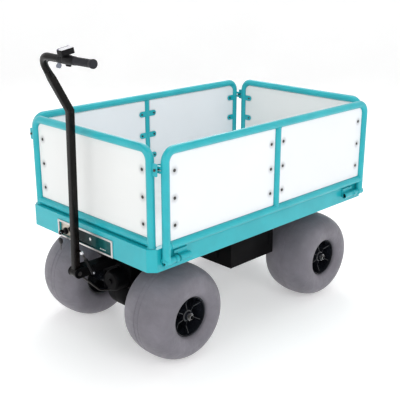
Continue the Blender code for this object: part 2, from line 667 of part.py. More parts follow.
def rail_hinge(tag, sx, sy):
    """Sleeve welded to the deck rail, with a pad and a stop lug."""
    face = DECK_HALF_W + GAP
    sleeve = rod((GATE_X, -0.5900, HINGE_Z), (GATE_X, -0.5300, HINGE_Z), SLEEVE_R, 14)
    pad = box((face, -0.5880, HINGE_Z - 0.0110), (face + 0.0080, -0.5320, HINGE_Z + 0.0330))
    lug = box((face, -0.6080, HINGE_Z + 0.0190), (face + 0.0090, -0.5860, HINGE_Z + 0.0330))
    bore = rod((GATE_X, -0.70, HINGE_Z), (GATE_X, -0.50, HINGE_Z), 0.0083, 14)
    bm = cut(fuse(sleeve, pad, lug), bore)
    if sx < 0:
        bm = flip_x(bm)
    if sy > 0:
        bm = flip_y(bm)
    publish("hinge_" + tag, bm, TEAL, 0.35, smooth=False)


def latch_pin(tag, sx, sy):
    """Pull pin through the fence's tab into the gate's open hook."""
    profile = [(0, 0), (0, 0.0055), (0.0035, 0.0055), (0.0045, 0.0036), (0.0290, 0.0036), (0.0290, 0)]
    bm = revolve((LATCH_X, -PIN_START, LATCH_Z), (0, 1, 0), profile, 12)
    if sx < 0:
        bm = flip_x(bm)
    if sy > 0:
        bm = flip_y(bm)
    publish("latch_pin_" + tag, bm, (0.05, 0.05, 0.055), 0.3, 0.8)


deck()
control_panel()
keys()
underbody()
truck()
handle()
strut()
WHEELS = (
    ("fl", WHEEL_X, FRONT_AXLE_Y),
    ("fr", -WHEEL_X, FRONT_AXLE_Y),
    ("rl", WHEEL_X, REAR_AXLE_Y),
    ("rr", -WHEEL_X, REAR_AXLE_Y),
)
CORNERS = (("fl", 1, -1), ("fr", -1, -1), ("rl", 1, 1), ("rr", -1, 1))
for wheel_tag, wheel_x, wheel_y in WHEELS:
    wheel(wheel_tag, wheel_x, wheel_y)
side_gate("left", False)
side_gate("right", True)
fence("front", False)
fence("rear", True)
for corner_tag, corner_x, corner_y in CORNERS:
    rail_hinge(corner_tag, corner_x, corner_y)
    latch_pin(corner_tag, corner_x, corner_y)

hang(Vector((0.0, FRONT_AXLE_Y, 0.4200)), "steering_fork", "front_axle", "drive_motor", "tongue", "pivot_bolt")
hang(Vector((0.0, FRONT_AXLE_Y, 0.4200)), "tongue_brace")
hang(PIVOT, "handle_tube", "handle_bar", "grip", "throttle_clamp", "display", "display_cover", "throttle_cable")
hang(BAR_CORNER, "throttle_lever")
hang(STRUT_FOOT, "strut_cylinder")
hang(BALL, "strut_rod")
hang(KEY, "ignition_key")
hang(SPARE_EYE, "spare_key")
for wheel_tag, wheel_x, wheel_y in WHEELS:
    hang(Vector((wheel_x, wheel_y, TYRE_R)), "tyre_" + wheel_tag, "hub_" + wheel_tag)
for gate_tag, gate_sx in (("left", 1), ("right", -1)):
    line = Vector((gate_sx * GATE_X, 0.0, HINGE_Z))
    hang(line, "gate_" + gate_tag, "gate_" + gate_tag + "_panel_front", "gate_" + gate_tag + "_panel_rear")
for corner_tag, corner_x, corner_y in CORNERS:
    hang(Vector((corner_x * LATCH_X, corner_y * PIN_START, LATCH_Z)), "latch_pin_" + corner_tag)
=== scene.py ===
"""Looks for the beach cart. Every piece is smooth geometry that rides on a CAD body."""
from math import cos, hypot, pi, radians, sin

import bmesh
import bpy
from mathutils import Matrix, Vector


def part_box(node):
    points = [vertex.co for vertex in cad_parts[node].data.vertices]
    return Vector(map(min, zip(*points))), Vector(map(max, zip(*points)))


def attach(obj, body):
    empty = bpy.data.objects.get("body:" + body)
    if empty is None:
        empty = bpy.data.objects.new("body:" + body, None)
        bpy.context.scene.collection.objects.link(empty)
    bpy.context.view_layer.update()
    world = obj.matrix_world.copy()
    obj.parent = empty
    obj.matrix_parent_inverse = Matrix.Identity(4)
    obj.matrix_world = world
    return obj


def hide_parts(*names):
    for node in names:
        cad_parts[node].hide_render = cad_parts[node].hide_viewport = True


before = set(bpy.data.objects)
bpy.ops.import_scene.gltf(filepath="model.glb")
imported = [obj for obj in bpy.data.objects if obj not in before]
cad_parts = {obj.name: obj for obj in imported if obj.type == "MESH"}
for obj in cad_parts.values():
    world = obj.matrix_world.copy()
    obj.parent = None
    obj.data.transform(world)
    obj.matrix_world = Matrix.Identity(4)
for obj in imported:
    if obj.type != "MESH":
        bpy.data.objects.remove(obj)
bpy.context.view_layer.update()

# ---------------- places, from the CAD frame
deck_lo, deck_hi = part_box("deck_frame")
SHIFT = Vector((0.0, (deck_lo.y + deck_hi.y) / 2, 0.0))
HALF_W, HALF_L = deck_hi.x, (deck_hi.y - deck_lo.y) / 2
DECK_LOW, DECK_TOP = deck_lo.z, deck_hi.z
CHAMFER = 0.029
GAP = 0.0003        # air between a piece and the one it lies on
SHEET_GAP = 0.0008  # air between a sheet and the tube round it


def local_box(node):
    """A CAD node's corners, with y counted from the middle of the deck."""
    lo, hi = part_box(node)
    return lo - SHIFT, hi - SHIFT


def middle(node):
    lo, hi = local_box(node)
    return (lo + hi) / 2


TUBE_R = 0.017
MID_R = 0.015
RAIL_R = TUBE_R - 0.0004  # lower rails, a hair thinner so that the joint stays clean
BEND_R = 0.046
panel_lo, panel_hi = local_box("gate_left_panel_front")
GATE_X = panel_hi.x
GATE_TOP = local_box("gate_left")[1].z - TUBE_R
HINGE_Z = 0.5145
GATE_POST_Y = -panel_lo.y + TUBE_R + SHEET_GAP
GATE_LOW = panel_lo.z - TUBE_R - SHEET_GAP
PANEL_T = panel_hi.x - panel_lo.x
end_lo, end_hi = local_box("fence_front_panel")
FENCE_Y = -end_lo.y
FENCE_X = end_hi.x + TUBE_R + SHEET_GAP
FENCE_TOP = end_hi.z + TUBE_R + SHEET_GAP
FENCE_LOW = end_lo.z - TUBE_R - SHEET_GAP
TAB_Z = (0.6565, 0.7676, 0.8787)
TAB_IN = 0.047
TAB_MID = 0.04
TAB_T = 0.0036
TAB_HALF = 0.0145
POST_SINK = 0.006  # how far a tab runs into its post
LATCH_X, _, LATCH_Z = middle("latch_pin_fl")

PIVOT = middle("pivot_bolt")
PIVOT.x = 0.0
MITRE = Vector((0.0, -0.7697, 1.0686))
BAR_CORNER = Vector((0.0, -0.8976, 1.2996))
BAR_BEND = 0.065
BAR_R = 0.013
NECK_R = 0.0148
BALL = Vector((0.04, -0.776, 0.472))
FOOT = Vector((0.04, -0.725, 0.368))
KEY = Vector((-0.1588, -0.7238, 0.5019))
UP = (BAR_CORNER - MITRE).normalized()
RIGHT = Vector((1.0, 0.0, 0.0))
WHEEL_R = 0.21


# ---------------- meshes
def mm(*pairs):
    """Pairs of lengths given in millimetres."""
    return [(a / 1000, b / 1000) for a, b in pairs]


def box(lo, hi):
    """A block between two opposite corners."""
    bm = bmesh.new()
    size = [abs(hi[k] - lo[k]) for k in range(3)]
    mid = [(hi[k] + lo[k]) / 2 for k in range(3)]
    bmesh.ops.create_cube(bm, size=1.0, matrix=Matrix.Translation(mid) @ Matrix.Diagonal((*size, 1.0)))
    return bm


def loft(rings, closed=False):
    bm = bmesh.new()
    grid = [[bm.verts.new(p) for p in ring] for ring in rings]
    count = len(grid[0])
    pairs = list(zip(grid, grid[1:]))
    if closed:
        pairs.append((grid[-1], grid[0]))
    for a, b in pairs:
        for k in range(count):
            n = (k + 1) % count
            bm.faces.new((a[k], a[n], b[n], b[k]))
    if not closed:
        bm.faces.new(grid[0])
        bm.faces.new(list(reversed(grid[-1])))
    return bm


def sides_of(axis):
    axis = axis.normalized()
    side = Vector((0, 0, 1)) if abs(axis.z) < 0.9 else Vector((1, 0, 0))
    u = side.cross(axis).normalized()
    return u, axis.cross(u)


def revolve(centre, axis, profile, seg=64, ring=False):
    """Revolve (distance along the axis, radius) pairs; ring=True closes the section on itself."""
    centre, axis = Vector(centre), Vector(axis).normalized()
    u, v = sides_of(axis)
    bm = bmesh.new()
    rows = []
    for t, r in profile:
        if r < 1e-9:
            rows.append([bm.verts.new(centre + axis * t)])
            continue
        row = []
        for k in range(seg):
            a = 2 * pi * k / seg
            row.append(bm.verts.new(centre + axis * t + u * r * cos(a) + v * r * sin(a)))
        rows.append(row)
    pairs = list(zip(rows, rows[1:]))
    if ring:
        pairs.append((rows[-1], rows[0]))
    for a, b in pairs:
        for k in range(seg):
            n = (k + 1) % seg
            if len(a) == 1 and len(b) == 1:
                continue
            if len(a) == 1:
                bm.faces.new((a[0], b[n], b[k]))
            elif len(b) == 1:
                bm.faces.new((a[k], a[n], b[0]))
            else:
                bm.faces.new((a[k], a[n], b[n], b[k]))
    return bm


def rod(p0, p1, r, seg=32, r1=None):
    """A round bar whose end edges are slightly broken."""
    edge = 0.0006
    p0, p1 = Vector(p0), Vector(p1)
    length = (p1 - p0).length
    q = r if r1 is None else r1
    profile = [(0, 0), (0, r - edge), (edge, r), (length - edge, q), (length, q - edge), (length, 0)]
    return revolve(p0, p1 - p0, profile, seg)


def sleeve(p0, p1, r, bore, seg=40, edge=0.0008):
    """A round tube with an open bore."""
    p0, p1 = Vector(p0), Vector(p1)
    n = (p1 - p0).length
    profile = [(0, bore), (0, r - edge), (edge, r), (n - edge, r), (n, r - edge), (n, bore)]
    return revolve(p0, p1 - p0, profile, seg, ring=True)


def arc(centre, start, end, steps):
    a, b = start - centre, end - centre
    angle = a.angle(b)
    out = []
    for k in range(steps + 1):
        w = k / steps
        out.append(centre + (a * sin((1 - w) * angle) + b * sin(w * angle)) / sin(angle))
    return out


def sweep(path, section, normal):
    """Sweep a section [(along normal, in plane)] on a planar path with mitred corners."""
    normal = Vector(normal).normalized()
    rings = []
    for k, p in enumerate(path):
        before = (p - path[k - 1]).normalized() if k else None
        after = (path[k + 1] - p).normalized() if k + 1 < len(path) else None
        before, after = before or after, after or before
        tangent = (before + after).normalized()
        spread = 1.0 / max(tangent.dot(before), 0.3)
        side = normal.cross(tangent)
        rings.append([p + normal * a + side * b * spread for a, b in section])
    return loft(rings)


def morph(path, sections, normal):
    """Sweep along a planar path with one section per point."""
    normal = Vector(normal).normalized()
    rings = []
    for k, p in enumerate(path):
        before = (p - path[k - 1]).normalized() if k else (path[1] - p).normalized()
        after = (path[k + 1] - p).normalized() if k + 1 < len(path) else before
        tangent = (before + after).normalized()
        side = normal.cross(tangent) / tangent.dot(before)
        rings.append([p + normal * a + side * b for a, b in sections[k]])
    return loft(rings)


def circle(r, seg=32):
    return [(r * cos(2 * pi * k / seg), r * sin(2 * pi * k / seg)) for k in range(seg)]


def rounded(half_a, half_b, corner, steps=5):
    """A rectangle with round corners, as a closed list of points."""
    pts = []
    for sa, sb, start in ((1, 1, 0), (-1, 1, 90), (-1, -1, 180), (1, -1, 270)):
        for k in range(steps + 1):
            a = radians(start + 90 * k / steps)
            pts.append((sa * (half_a - corner) + corner * cos(a),
                        sb * (half_b - corner) + corner * sin(a)))
    return pts


def prism(points, axis, lo, hi):
    rings = []
    for level in (lo, hi):
        ring = []
        for a, b in points:
            xyz = [a, b]
            xyz.insert(axis, level)
            ring.append(Vector(xyz))
        rings.append(ring)
    return loft(rings)


def join(*parts):
    out = bmesh.new()
    scratch = bpy.data.meshes.new("scratch")
    for bm in parts:
        bmesh.ops.recalc_face_normals(bm, faces=bm.faces)
        bm.to_mesh(scratch)
        bm.free()
        out.from_mesh(scratch)
    bpy.data.meshes.remove(scratch)
    return out


def boolean(first, others, operation="DIFFERENCE"):
    def holder(bm):
        bmesh.ops.recalc_face_normals(bm, faces=bm.faces)
        mesh = bpy.data.meshes.new("work")
        bm.to_mesh(mesh)
        bm.free()
        obj = bpy.data.objects.new("work", mesh)
        bpy.context.scene.collection.objects.link(obj)
        return obj

    target = holder(first)
    tools = [holder(bm) for bm in others]
    for tool in tools:
        step = target.modifiers.new("step", "BOOLEAN")
        step.operation = operation
        step.solver = "EXACT"
        step.object = tool
    deps = bpy.context.evaluated_depsgraph_get()
    result = bpy.data.meshes.new_from_object(target.evaluated_get(deps))
    out = bmesh.new()
    out.from_mesh(result)
    for obj in [target, *tools]:
        bpy.data.objects.remove(obj, do_unlink=True)
    bpy.data.meshes.remove(result)
    bmesh.ops.remove_doubles(out, verts=out.verts, dist=0.00002)
    bmesh.ops.dissolve_limit(out, angle_limit=0.002, verts=out.verts, edges=out.edges)
    return out


def flip(bm, axis):
    vec = [1, 1, 1]
    vec[axis] = -1
    bmesh.ops.scale(bm, vec=vec, verts=bm.verts)
    bmesh.ops.reverse_faces(bm, faces=bm.faces)
    return bm


def moved(bm, matrix):
    bmesh.ops.transform(bm, matrix=matrix, verts=bm.verts)
    return bm


# the record's slot for each material that isn't called like its slot
SLOTS = {
    "turquoise_coat": "frame_coat", "handle_coat": "black_coat", "deck_board": "side_sheet",
    "end_sheet": "side_sheet", "bolt_steel": "bright_steel", "display_rim": "display_face",
    "indicator_white": "display_face",
}


def piece(name, bm, mat, body, covers=(), slot=None, angle=38, bevel=0.0, segments=3):
    """Publish a mesh made in deck coordinates as a piece that rides on a body."""
    base = mat.name.split(".")[0]  # the CAD import holds some of these names, so Blender adds .001
    slot = slot or SLOTS.get(base, base)
    bmesh.ops.recalc_face_normals(bm, faces=bm.faces)
    mesh = bpy.data.meshes.new(name)
    bm.to_mesh(mesh)
    bm.free()
    mesh.transform(Matrix.Translation(SHIFT))
    mesh.materials.append(mat)
    mesh.shade_smooth()
    obj = bpy.data.objects.new(name, mesh)
    bpy.context.scene.collection.objects.link(obj)
    if bevel:
        step = obj.modifiers.new("edges", "BEVEL")
        step.width = bevel
        step.segments = segments
        step.limit_method = "ANGLE"
        step.angle_limit = radians(30)
        step.use_clamp_overlap = True
        shade = obj.modifiers.new("shade", "WEIGHTED_NORMAL")
        shade.keep_sharp = False
        shade.weight = 60
    else:
        mesh.set_sharp_from_angle(angle=radians(angle))
    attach(obj, body)
    if covers:
        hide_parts(*covers)
    return obj


# ---------------- materials
class Nodes:
    """Shorthand for building one material's node tree."""

    def __init__(self, name, **sockets):
        self.mat = bpy.data.materials.new(name)
        self.mat.use_nodes = True
        self.tree = self.mat.node_tree
        self.shader = self.tree.nodes["Principled BSDF"]
        for key, value in sockets.items():
            self.shader.inputs[key.replace("_", " ")].default_value = value
        self.coord = self.new("TexCoord").outputs["Object"]

    def new(self, kind):
        return self.tree.nodes.new("ShaderNode" + kind)

    def link(self, source, socket):
        self.tree.links.new(source, socket)

    def put(self, value, socket):
        if isinstance(value, bpy.types.NodeSocket):
            self.link(value, socket)
        else:
            socket.default_value = value

    def noise(self, scale, detail=3.0, rough=0.5, vector=None):
        node = self.new("TexNoise")
        node.inputs["Scale"].default_value = scale
        node.inputs["Detail"].default_value = detail
        node.inputs["Roughness"].default_value = rough
        self.link(vector or self.coord, node.inputs["Vector"])
        return node.outputs["Fac"]

    def math(self, operation, a, b=0.0):
        node = self.new("Math")
        node.operation = operation
        for value, socket in zip((a, b), node.inputs):
            self.put(value, socket)
        return node.outputs[0]

    def ramp(self, fac, low, high, start=0.0, end=1.0):
        node = self.new("MapRange")
        node.interpolation_type = "SMOOTHSTEP"
        self.put(fac, node.inputs["Value"])
        self.put(start, node.inputs["From Min"])
        self.put(end, node.inputs["From Max"])
        self.put(low, node.inputs["To Min"])
        self.put(high, node.inputs["To Max"])
        return node.outputs["Result"]

    def mix(self, fac, a, b):
        node = self.new("Mix")
        node.data_type = "RGBA"
        self.put(fac, node.inputs[0])
        for value, socket in ((a, node.inputs[6]), (b, node.inputs[7])):
            self.put(value if isinstance(value, bpy.types.NodeSocket) else (*value, 1.0), socket)
        return node.outputs[2]

    def scaled(self, scale):
        node = self.new("Mapping")
        node.inputs["Scale"].default_value = scale
        self.link(self.coord, node.inputs["Vector"])
        return node.outputs["Vector"]

    def axes(self):
        node = self.new("SeparateXYZ")
        self.link(self.coord, node.inputs[0])
        return node.outputs

    def bump(self, height, strength, distance=0.001, onto=None):
        node = self.new("Bump")
        node.inputs["Strength"].default_value = strength
        node.inputs["Distance"].default_value = distance
        self.link(height, node.inputs["Height"])
        if onto is not None:
            self.link(onto, node.inputs["Normal"])
        return node.outputs["Normal"]

    def finish(self, colour=None, roughness=None, normal=None):
        for source, name in ((colour, "Base Color"), (roughness, "Roughness"), (normal, "Normal")):
            if source is not None:
                self.link(source, self.shader.inputs[name])
        return self.mat


def coat(name, dark, light, rough, peel=0.25, **sockets):
    """Sprayed coat: slow tint drift, fine orange peel, uneven gloss."""
    n = Nodes(name, **sockets)
    colour = n.mix(n.ramp(n.noise(9.0, 4.0), 0.0, 1.0, 0.3, 0.7), dark, light)
    gloss = n.ramp(n.noise(14.0, 3.0, 0.6), rough - 0.04, rough + 0.05, 0.3, 0.7)
    skin = n.bump(n.noise(120.0, 1.0), peel, 0.0002)
    return n.finish(colour, gloss, skin)


TEAL = coat("turquoise_coat", (0.008, 0.385, 0.445), (0.012, 0.43, 0.49), 0.36, 0.05, Coat_Weight=0.34,
            Coat_Roughness=0.1, Specular_IOR_Level=0.35)
BLACK = coat("black_coat", (0.0016, 0.0016, 0.002), (0.004, 0.0038, 0.0042), 0.46, 0.2,
             Specular_IOR_Level=0.05)
HANDLE_COAT = coat("handle_coat", (0.003, 0.0022, 0.002), (0.0066, 0.0048, 0.0042), 0.19, 0.1,
                   Specular_IOR_Level=0.15)
PLASTIC = coat("black_plastic", (0.003, 0.003, 0.0038), (0.007, 0.007, 0.008), 0.34, 0.3,
               Specular_IOR_Level=0.14)
GRIP = coat("grip_rubber", (0.008, 0.008, 0.011), (0.016, 0.016, 0.021), 0.5, 0.4,
            Specular_IOR_Level=0.25)
LEVER = coat("lever_plastic", (0.16, 0.18, 0.23), (0.2, 0.22, 0.27), 0.38, 0.6)
HUB = coat("hub_plastic", (0.006, 0.007, 0.01), (0.013, 0.015, 0.02), 0.17, 0.25)
DECK_BOARD = coat("deck_board", (0.82, 0.84, 0.85), (0.88, 0.9, 0.91), 0.42, 0.15)
CASE = coat("battery_case", (0.06, 0.07, 0.09), (0.08, 0.09, 0.11), 0.5, 1.0)


def metal(name, colour, rough, grain):
    """Metal with a fine drawn grain and small differences in brightness."""
    n = Nodes(name, Metallic=1.0)
    lines = n.noise(1.0, 4.0, 0.6, n.scaled(grain))
    dark = tuple(c * 0.86 for c in colour)
    tint = n.mix(n.ramp(lines, 0.0, 1.0, 0.3, 0.7), dark, colour)
    gloss = n.ramp(lines, rough - 0.06, rough + 0.08, 0.3, 0.7)
    return n.finish(tint, gloss, n.bump(lines, 0.12, 0.0003))


STEEL = metal("bright_steel", (0.7, 0.7, 0.72), 0.18, (300, 300, 300))
BEZEL = metal("bezel_metal", (0.66, 0.63, 0.62), 0.34, (60, 60, 2400))
PLATE = metal("plate_metal", (0.64, 0.58, 0.5), 0.42, (1500, 60, 60))
CAST = metal("controller_case", (0.32, 0.33, 0.34), 0.5, (700, 700, 700))
BOLT = metal("bolt_steel", (0.09, 0.085, 0.08), 0.36, (400, 400, 400))


def nearest(n, coordinate, values):
    """Distance along one axis to the nearest of several levels."""
    best = None
    for value in values:
        gap = n.math("ABSOLUTE", n.math("SUBTRACT", coordinate, value))
        best = gap if best is None else n.math("MINIMUM", best, gap)
    return best


def sheet(name, along, spots, tone):
    """Milky plastic sheet, with painted shade round the bolts where the tabs behind it show through."""
    n = Nodes(name, Roughness=0.38, Specular_IOR_Level=0.45)
    axes = n.axes()
    du = nearest(n, axes[along], spots)
    dv = nearest(n, axes["Z"], TAB_Z)
    far = n.math("SQRT", n.math("ADD", n.math("MULTIPLY", du, du), n.math("MULTIPLY", dv, dv)))
    far = n.math("ADD", far, n.math("MULTIPLY", n.math("SUBTRACT", n.noise(60.0, 2.0), 0.5), 0.006))
    # painted shade: a soft grey halo round each bolt stands for the tab seen through the sheet
    shade = n.ramp(far, 1.0, 0.0, 0.002, 0.026)
    cloud = n.ramp(n.noise(3.0, 3.0), 0.0, 1.0, 0.3, 0.7)
    base = n.mix(cloud, tuple(c * 0.975 for c in tone), tone)
    colour = n.mix(n.math("MULTIPLY", shade, 0.62), base, (0.3, 0.31, 0.32))
    grain = n.noise(1.0, 3.0, 0.5, n.scaled((500, 500, 500)))
    gloss = n.ramp(n.noise(25.0, 4.0), 0.32, 0.46, 0.3, 0.7)
    return n.finish(colour, gloss, n.bump(grain, 0.1, 0.0003))


GATE_SPOTS = [s * v + SHIFT.y for s in (-1, 1) for v in (GATE_POST_Y - TAB_IN, TAB_MID)]
END_SPOTS = [s * (FENCE_X - TAB_IN) for s in (-1, 1)]
SIDE_SHEET = sheet("side_sheet", "Y", GATE_SPOTS, (0.86, 0.88, 0.91))
# The end sheets take a darker, greyer copy of the side sheets' white: painted shade for the less lit
# end faces.
SHADED_END_SHEET = sheet("end_sheet", "X", END_SPOTS, (0.84, 0.85, 0.84))


def tyre_skin():
    """Soft balloon tyre: dusty mauve grey, slow stains, fine radial creases, matte sheen."""
    n = Nodes("tyre_skin", Sheen_Weight=0.12, Sheen_Roughness=0.4)
    slow = n.ramp(n.noise(7.0, 5.0, 0.6), 0.0, 1.0, 0.3, 0.72)
    colour = n.mix(slow, (0.134, 0.126, 0.148), (0.184, 0.174, 0.202))
    dust = n.ramp(n.noise(260.0, 3.0, 0.7), 0.0, 0.22, 0.52, 0.75)
    colour = n.mix(dust, colour, (0.258, 0.248, 0.276))
    creases = n.ramp(n.noise(1.0, 2.0, 0.5, n.scaled((7, 30, 30))), 0.0, 1.0, 0.4, 0.6)
    first = n.bump(creases, 0.28, 0.003)
    skin = n.bump(n.noise(700.0, 3.0, 0.6), 0.22, 0.0005, first)
    return n.finish(colour, n.ramp(n.noise(30.0, 4.0), 0.46, 0.6, 0.3, 0.7), skin)


TYRE = tyre_skin()


def window_glass():
    n = Nodes("dark_window", Roughness=0.06, Specular_IOR_Level=0.08)
    axes = n.axes()
    # the colour runs from near black to teal towards +X, broken into patches by noise; the same patches
    # set the gloss
    wash = n.ramp(axes["X"], 0.0, 1.0, -0.06, 0.17)
    patches = n.noise(18.0, 4.0, 0.6)
    fac = n.math("MULTIPLY", wash, n.ramp(patches, 0.4, 1.0, 0.3, 0.7))
    colour = n.mix(fac, (0.004, 0.01, 0.011), (0.01, 0.12, 0.12))
    gloss = n.ramp(patches, 0.04, 0.12, 0.3, 0.7)
    return n.finish(colour, gloss)


def screen_face():
    n = Nodes("display_face", Roughness=0.12, Coat_Weight=0.5)
    cloud = n.noise(70.0, 2.0)
    return n.finish(n.mix(n.ramp(cloud, 0.0, 1.0, 0.3, 0.7), (0.17, 0.16, 0.23), (0.26, 0.25, 0.33)),
                    n.ramp(cloud, 0.08, 0.18, 0.3, 0.7))


WINDOW = window_glass()
SCREEN = screen_face()
CHROME = metal("display_rim", (0.86, 0.86, 0.89), 0.16, (200, 200, 200))
WHITE_MARK = coat("indicator_white", (0.78, 0.8, 0.8), (0.84, 0.86, 0.86), 0.3, 0.2)


# ---------------- deck
def outline():
    """The deck seen from above, with its corners cut."""
    w, n, c = HALF_W, HALF_L, CHAMFER
    return [(w, -n + c), (w, n - c), (w - c, n), (-w + c, n), (-w, n - c), (-w, -n + c), (-w + c, -n),
            (w - c, -n)]


def deck():
    lo, hi = local_box("deck_plate")
    rail, end_rail = HALF_W - hi.x - GAP, HALF_L - hi.y - GAP
    ring = boolean(prism(outline(), 2, DECK_LOW, DECK_TOP), [
        box((-HALF_W + rail, -HALF_L + end_rail, 0.4), (HALF_W - rail, HALF_L - end_rail, 0.7)),
        box((-0.1965, -0.73, 0.478), (0.169, -0.708, 0.5405)),
    ])
    piece("deck_rails", ring, TEAL, "chassis", ["deck_frame"], bevel=0.0028)
    beams = []
    for y in (middle("front_axle").y, 0.04, middle("rear_axle").y):
        beams.append(box((-HALF_W + rail, y - 0.03, 0.5), (HALF_W - rail, y + 0.03, 0.5672)))
    piece("deck_beams", join(*beams), TEAL, "chassis", bevel=0.002)
    piece("deck_sheet", box(lo, hi), DECK_BOARD, "chassis", ["deck_plate"], bevel=0.0008, segments=2)


# ---------------- gates and fences
def portal(fixed_axis, level, half_span, top, foot):
    """Centre line of an upside-down U of tube with two round corners."""
    steps = 14

    def at(h, z):
        return Vector((level, h, z)) if fixed_axis == 0 else Vector((h, level, z))

    low, near = top - BEND_R, half_span - BEND_R
    left = arc(at(-near, low), at(-half_span, low), at(-near, top), steps)
    right = arc(at(near, low), at(near, top), at(half_span, low), steps)
    return [at(-half_span, foot), *left, *right, at(half_span, foot)]


def panel_shape(lo, hi, bottom, top, round_lo, round_hi):
    """Sheet outline: corners beside a bent tube follow the bend, the others are eased."""
    big, small = BEND_R - TUBE_R - 0.0006, 0.004
    pts = []
    corners = (
        (lo, bottom, small, 180), (hi, bottom, small, 270),
        (hi, top, big if round_hi else small, 0), (lo, top, big if round_lo else small, 90),
    )
    for a, b, r, start in corners:
        ca = a + r if a == lo else a - r
        cb = b + r if b == bottom else b - r
        steps = 10 if r > 0.01 else 4
        for k in range(steps + 1):
            t = radians(start + 90 * k / steps)
            pts.append((ca + r * cos(t), cb + r * sin(t)))
    return pts


def tab(inner, bolt, z):
    """Weld tab: square at the post, round past the bolt."""
    sign = 1 if bolt > inner else -1
    pts = [(inner, z - TAB_HALF)]
    for k in range(13):
        a = -pi / 2 + pi * k / 12
        pts.append((bolt + sign * TAB_HALF * cos(a), z + TAB_HALF * sin(a)))
    pts.append((inner, z + TAB_HALF))
    return pts


def button(at, axis, r=0.0054, height=0.0032):
    """Button-head bolt with a socket, on its thin washer."""
    profile = [(0, 0), (0, r + 0.0014), (0.0008, r + 0.0014), (0.0009, r), (0.0016, r)]
    for k in range(1, 5):
        a = pi / 2 * k / 5
        profile.append((0.0016 + (height - 0.0016) * sin(a), 0.0026 + (r - 0.0026) * cos(a)))
    profile += [(height, 0.0026), (0.0016, 0.0022), (0.0016, 0)]
    return revolve(at, axis, profile, 20)


def nut(at, axis, r=0.0062, height=0.0044):
    hexagon = revolve(at, axis, [(0, 0), (0, r), (height, r), (height, 0)], 6)
    stub = revolve(at, axis, [(0, 0), (0, 0.003), (height + 0.0026, 0.003), (height + 0.003, 0.0024),
                              (height + 0.003, 0)], 16)
    return join(hexagon, stub)


def bead(p0, p1, r):
    """A small weld fillet ring round a bar that meets another."""
    p0, p1 = Vector(p0), Vector(p1)
    n = (p1 - p0).length
    return revolve(p0, p1 - p0, [(0, r * 0.8), (0, r + 0.0022), (n * 0.5, r + 0.001), (n, r * 0.98)],
                   28)


def side_gate(tag, mirror):
    body = "side_" + tag

    def done(bm):
        return flip(bm, 0) if mirror else bm

    parts = [
        sweep(portal(0, GATE_X, GATE_POST_Y, GATE_TOP, HINGE_Z), circle(TUBE_R, 40), (1, 0, 0)),
        rod((GATE_X, -GATE_POST_Y, GATE_LOW), (GATE_X, GATE_POST_Y, GATE_LOW), RAIL_R, 40),
        rod((GATE_X, 0, GATE_LOW), (GATE_X, 0, GATE_TOP), MID_R, 36),
        bead((GATE_X, 0, GATE_LOW + 0.015), (GATE_X, 0, GATE_LOW + 0.0205), MID_R),
        bead((GATE_X, 0, GATE_TOP - 0.015), (GATE_X, 0, GATE_TOP - 0.0205), MID_R),
    ]
    back = GATE_X - PANEL_T - GAP
    bolts, nuts, tabs, plugs = [], [], [], []
    for s in (-1, 1):
        post, bolt_y = s * (GATE_POST_Y - POST_SINK), s * (GATE_POST_Y - TAB_IN)
        parts.append(bead((GATE_X, s * (GATE_POST_Y - 0.0165), GATE_LOW),
                          (GATE_X, s * (GATE_POST_Y - 0.0225), GATE_LOW), RAIL_R))
        for z in TAB_Z:
            for root, hole in ((post, bolt_y), (s * 0.004, s * TAB_MID)):
                tabs.append(prism(tab(root, hole, z), 0, back - TAB_T, back))
                bolts.append(button((GATE_X, hole, z), (1, 0, 0)))
                nuts.append(nut((back - TAB_T, hole, z), (-1, 0, 0), 0.0052, 0.0034))
        far, near = s * 0.679, s * 0.668
        for low, high in ((0.0046, 0.0138), (-0.0138, -0.0046)):
            parts.append(box((LATCH_X - 0.008, far, LATCH_Z + low),
                             (GATE_X - 0.004, near, LATCH_Z + high)))

        def on_hinge(y):
            return GATE_X, s * y, HINGE_Z

        plugs.append(rod(on_hinge(0.664), on_hinge(0.659), 0.0119, 32))
        parts += [
            sleeve(on_hinge(0.674), on_hinge(0.6394), 0.0171, 0.012, 48),
            rod(on_hinge(0.66), on_hinge(0.615), 0.0135, 40),
            sleeve(on_hinge(0.6135), on_hinge(0.5985), 0.0161, 0.0075),
            rod(on_hinge(0.614), on_hinge(0.593), 0.0133, 32),
            rod(on_hinge(0.6), on_hinge(0.545), 0.0074, 28),
        ]
    piece("gate_%s_frame" % tag, done(join(*parts)), TEAL, body, ["gate_" + tag])
    piece("gate_%s_tabs" % tag, done(join(*tabs)), TEAL, body, bevel=0.0008, segments=2)
    piece("gate_%s_bolts" % tag, done(join(*bolts)), BOLT, body)
    piece("gate_%s_plugs" % tag, done(join(*plugs)), PLASTIC, body)
    piece("gate_%s_nuts" % tag, done(join(*nuts)), BOLT, body, angle=20)
    for end in ("front", "rear"):
        node = "gate_%s_panel_%s" % (tag, end)
        lo, hi = local_box("gate_left_panel_" + end)
        slab = prism(panel_shape(lo.y, hi.y, lo.z, hi.z, end == "front", end == "rear"), 0, lo.x, hi.x)
        piece("gate_%s_sheet_%s" % (tag, end), done(slab), SIDE_SHEET, body, [node], bevel=0.0009)


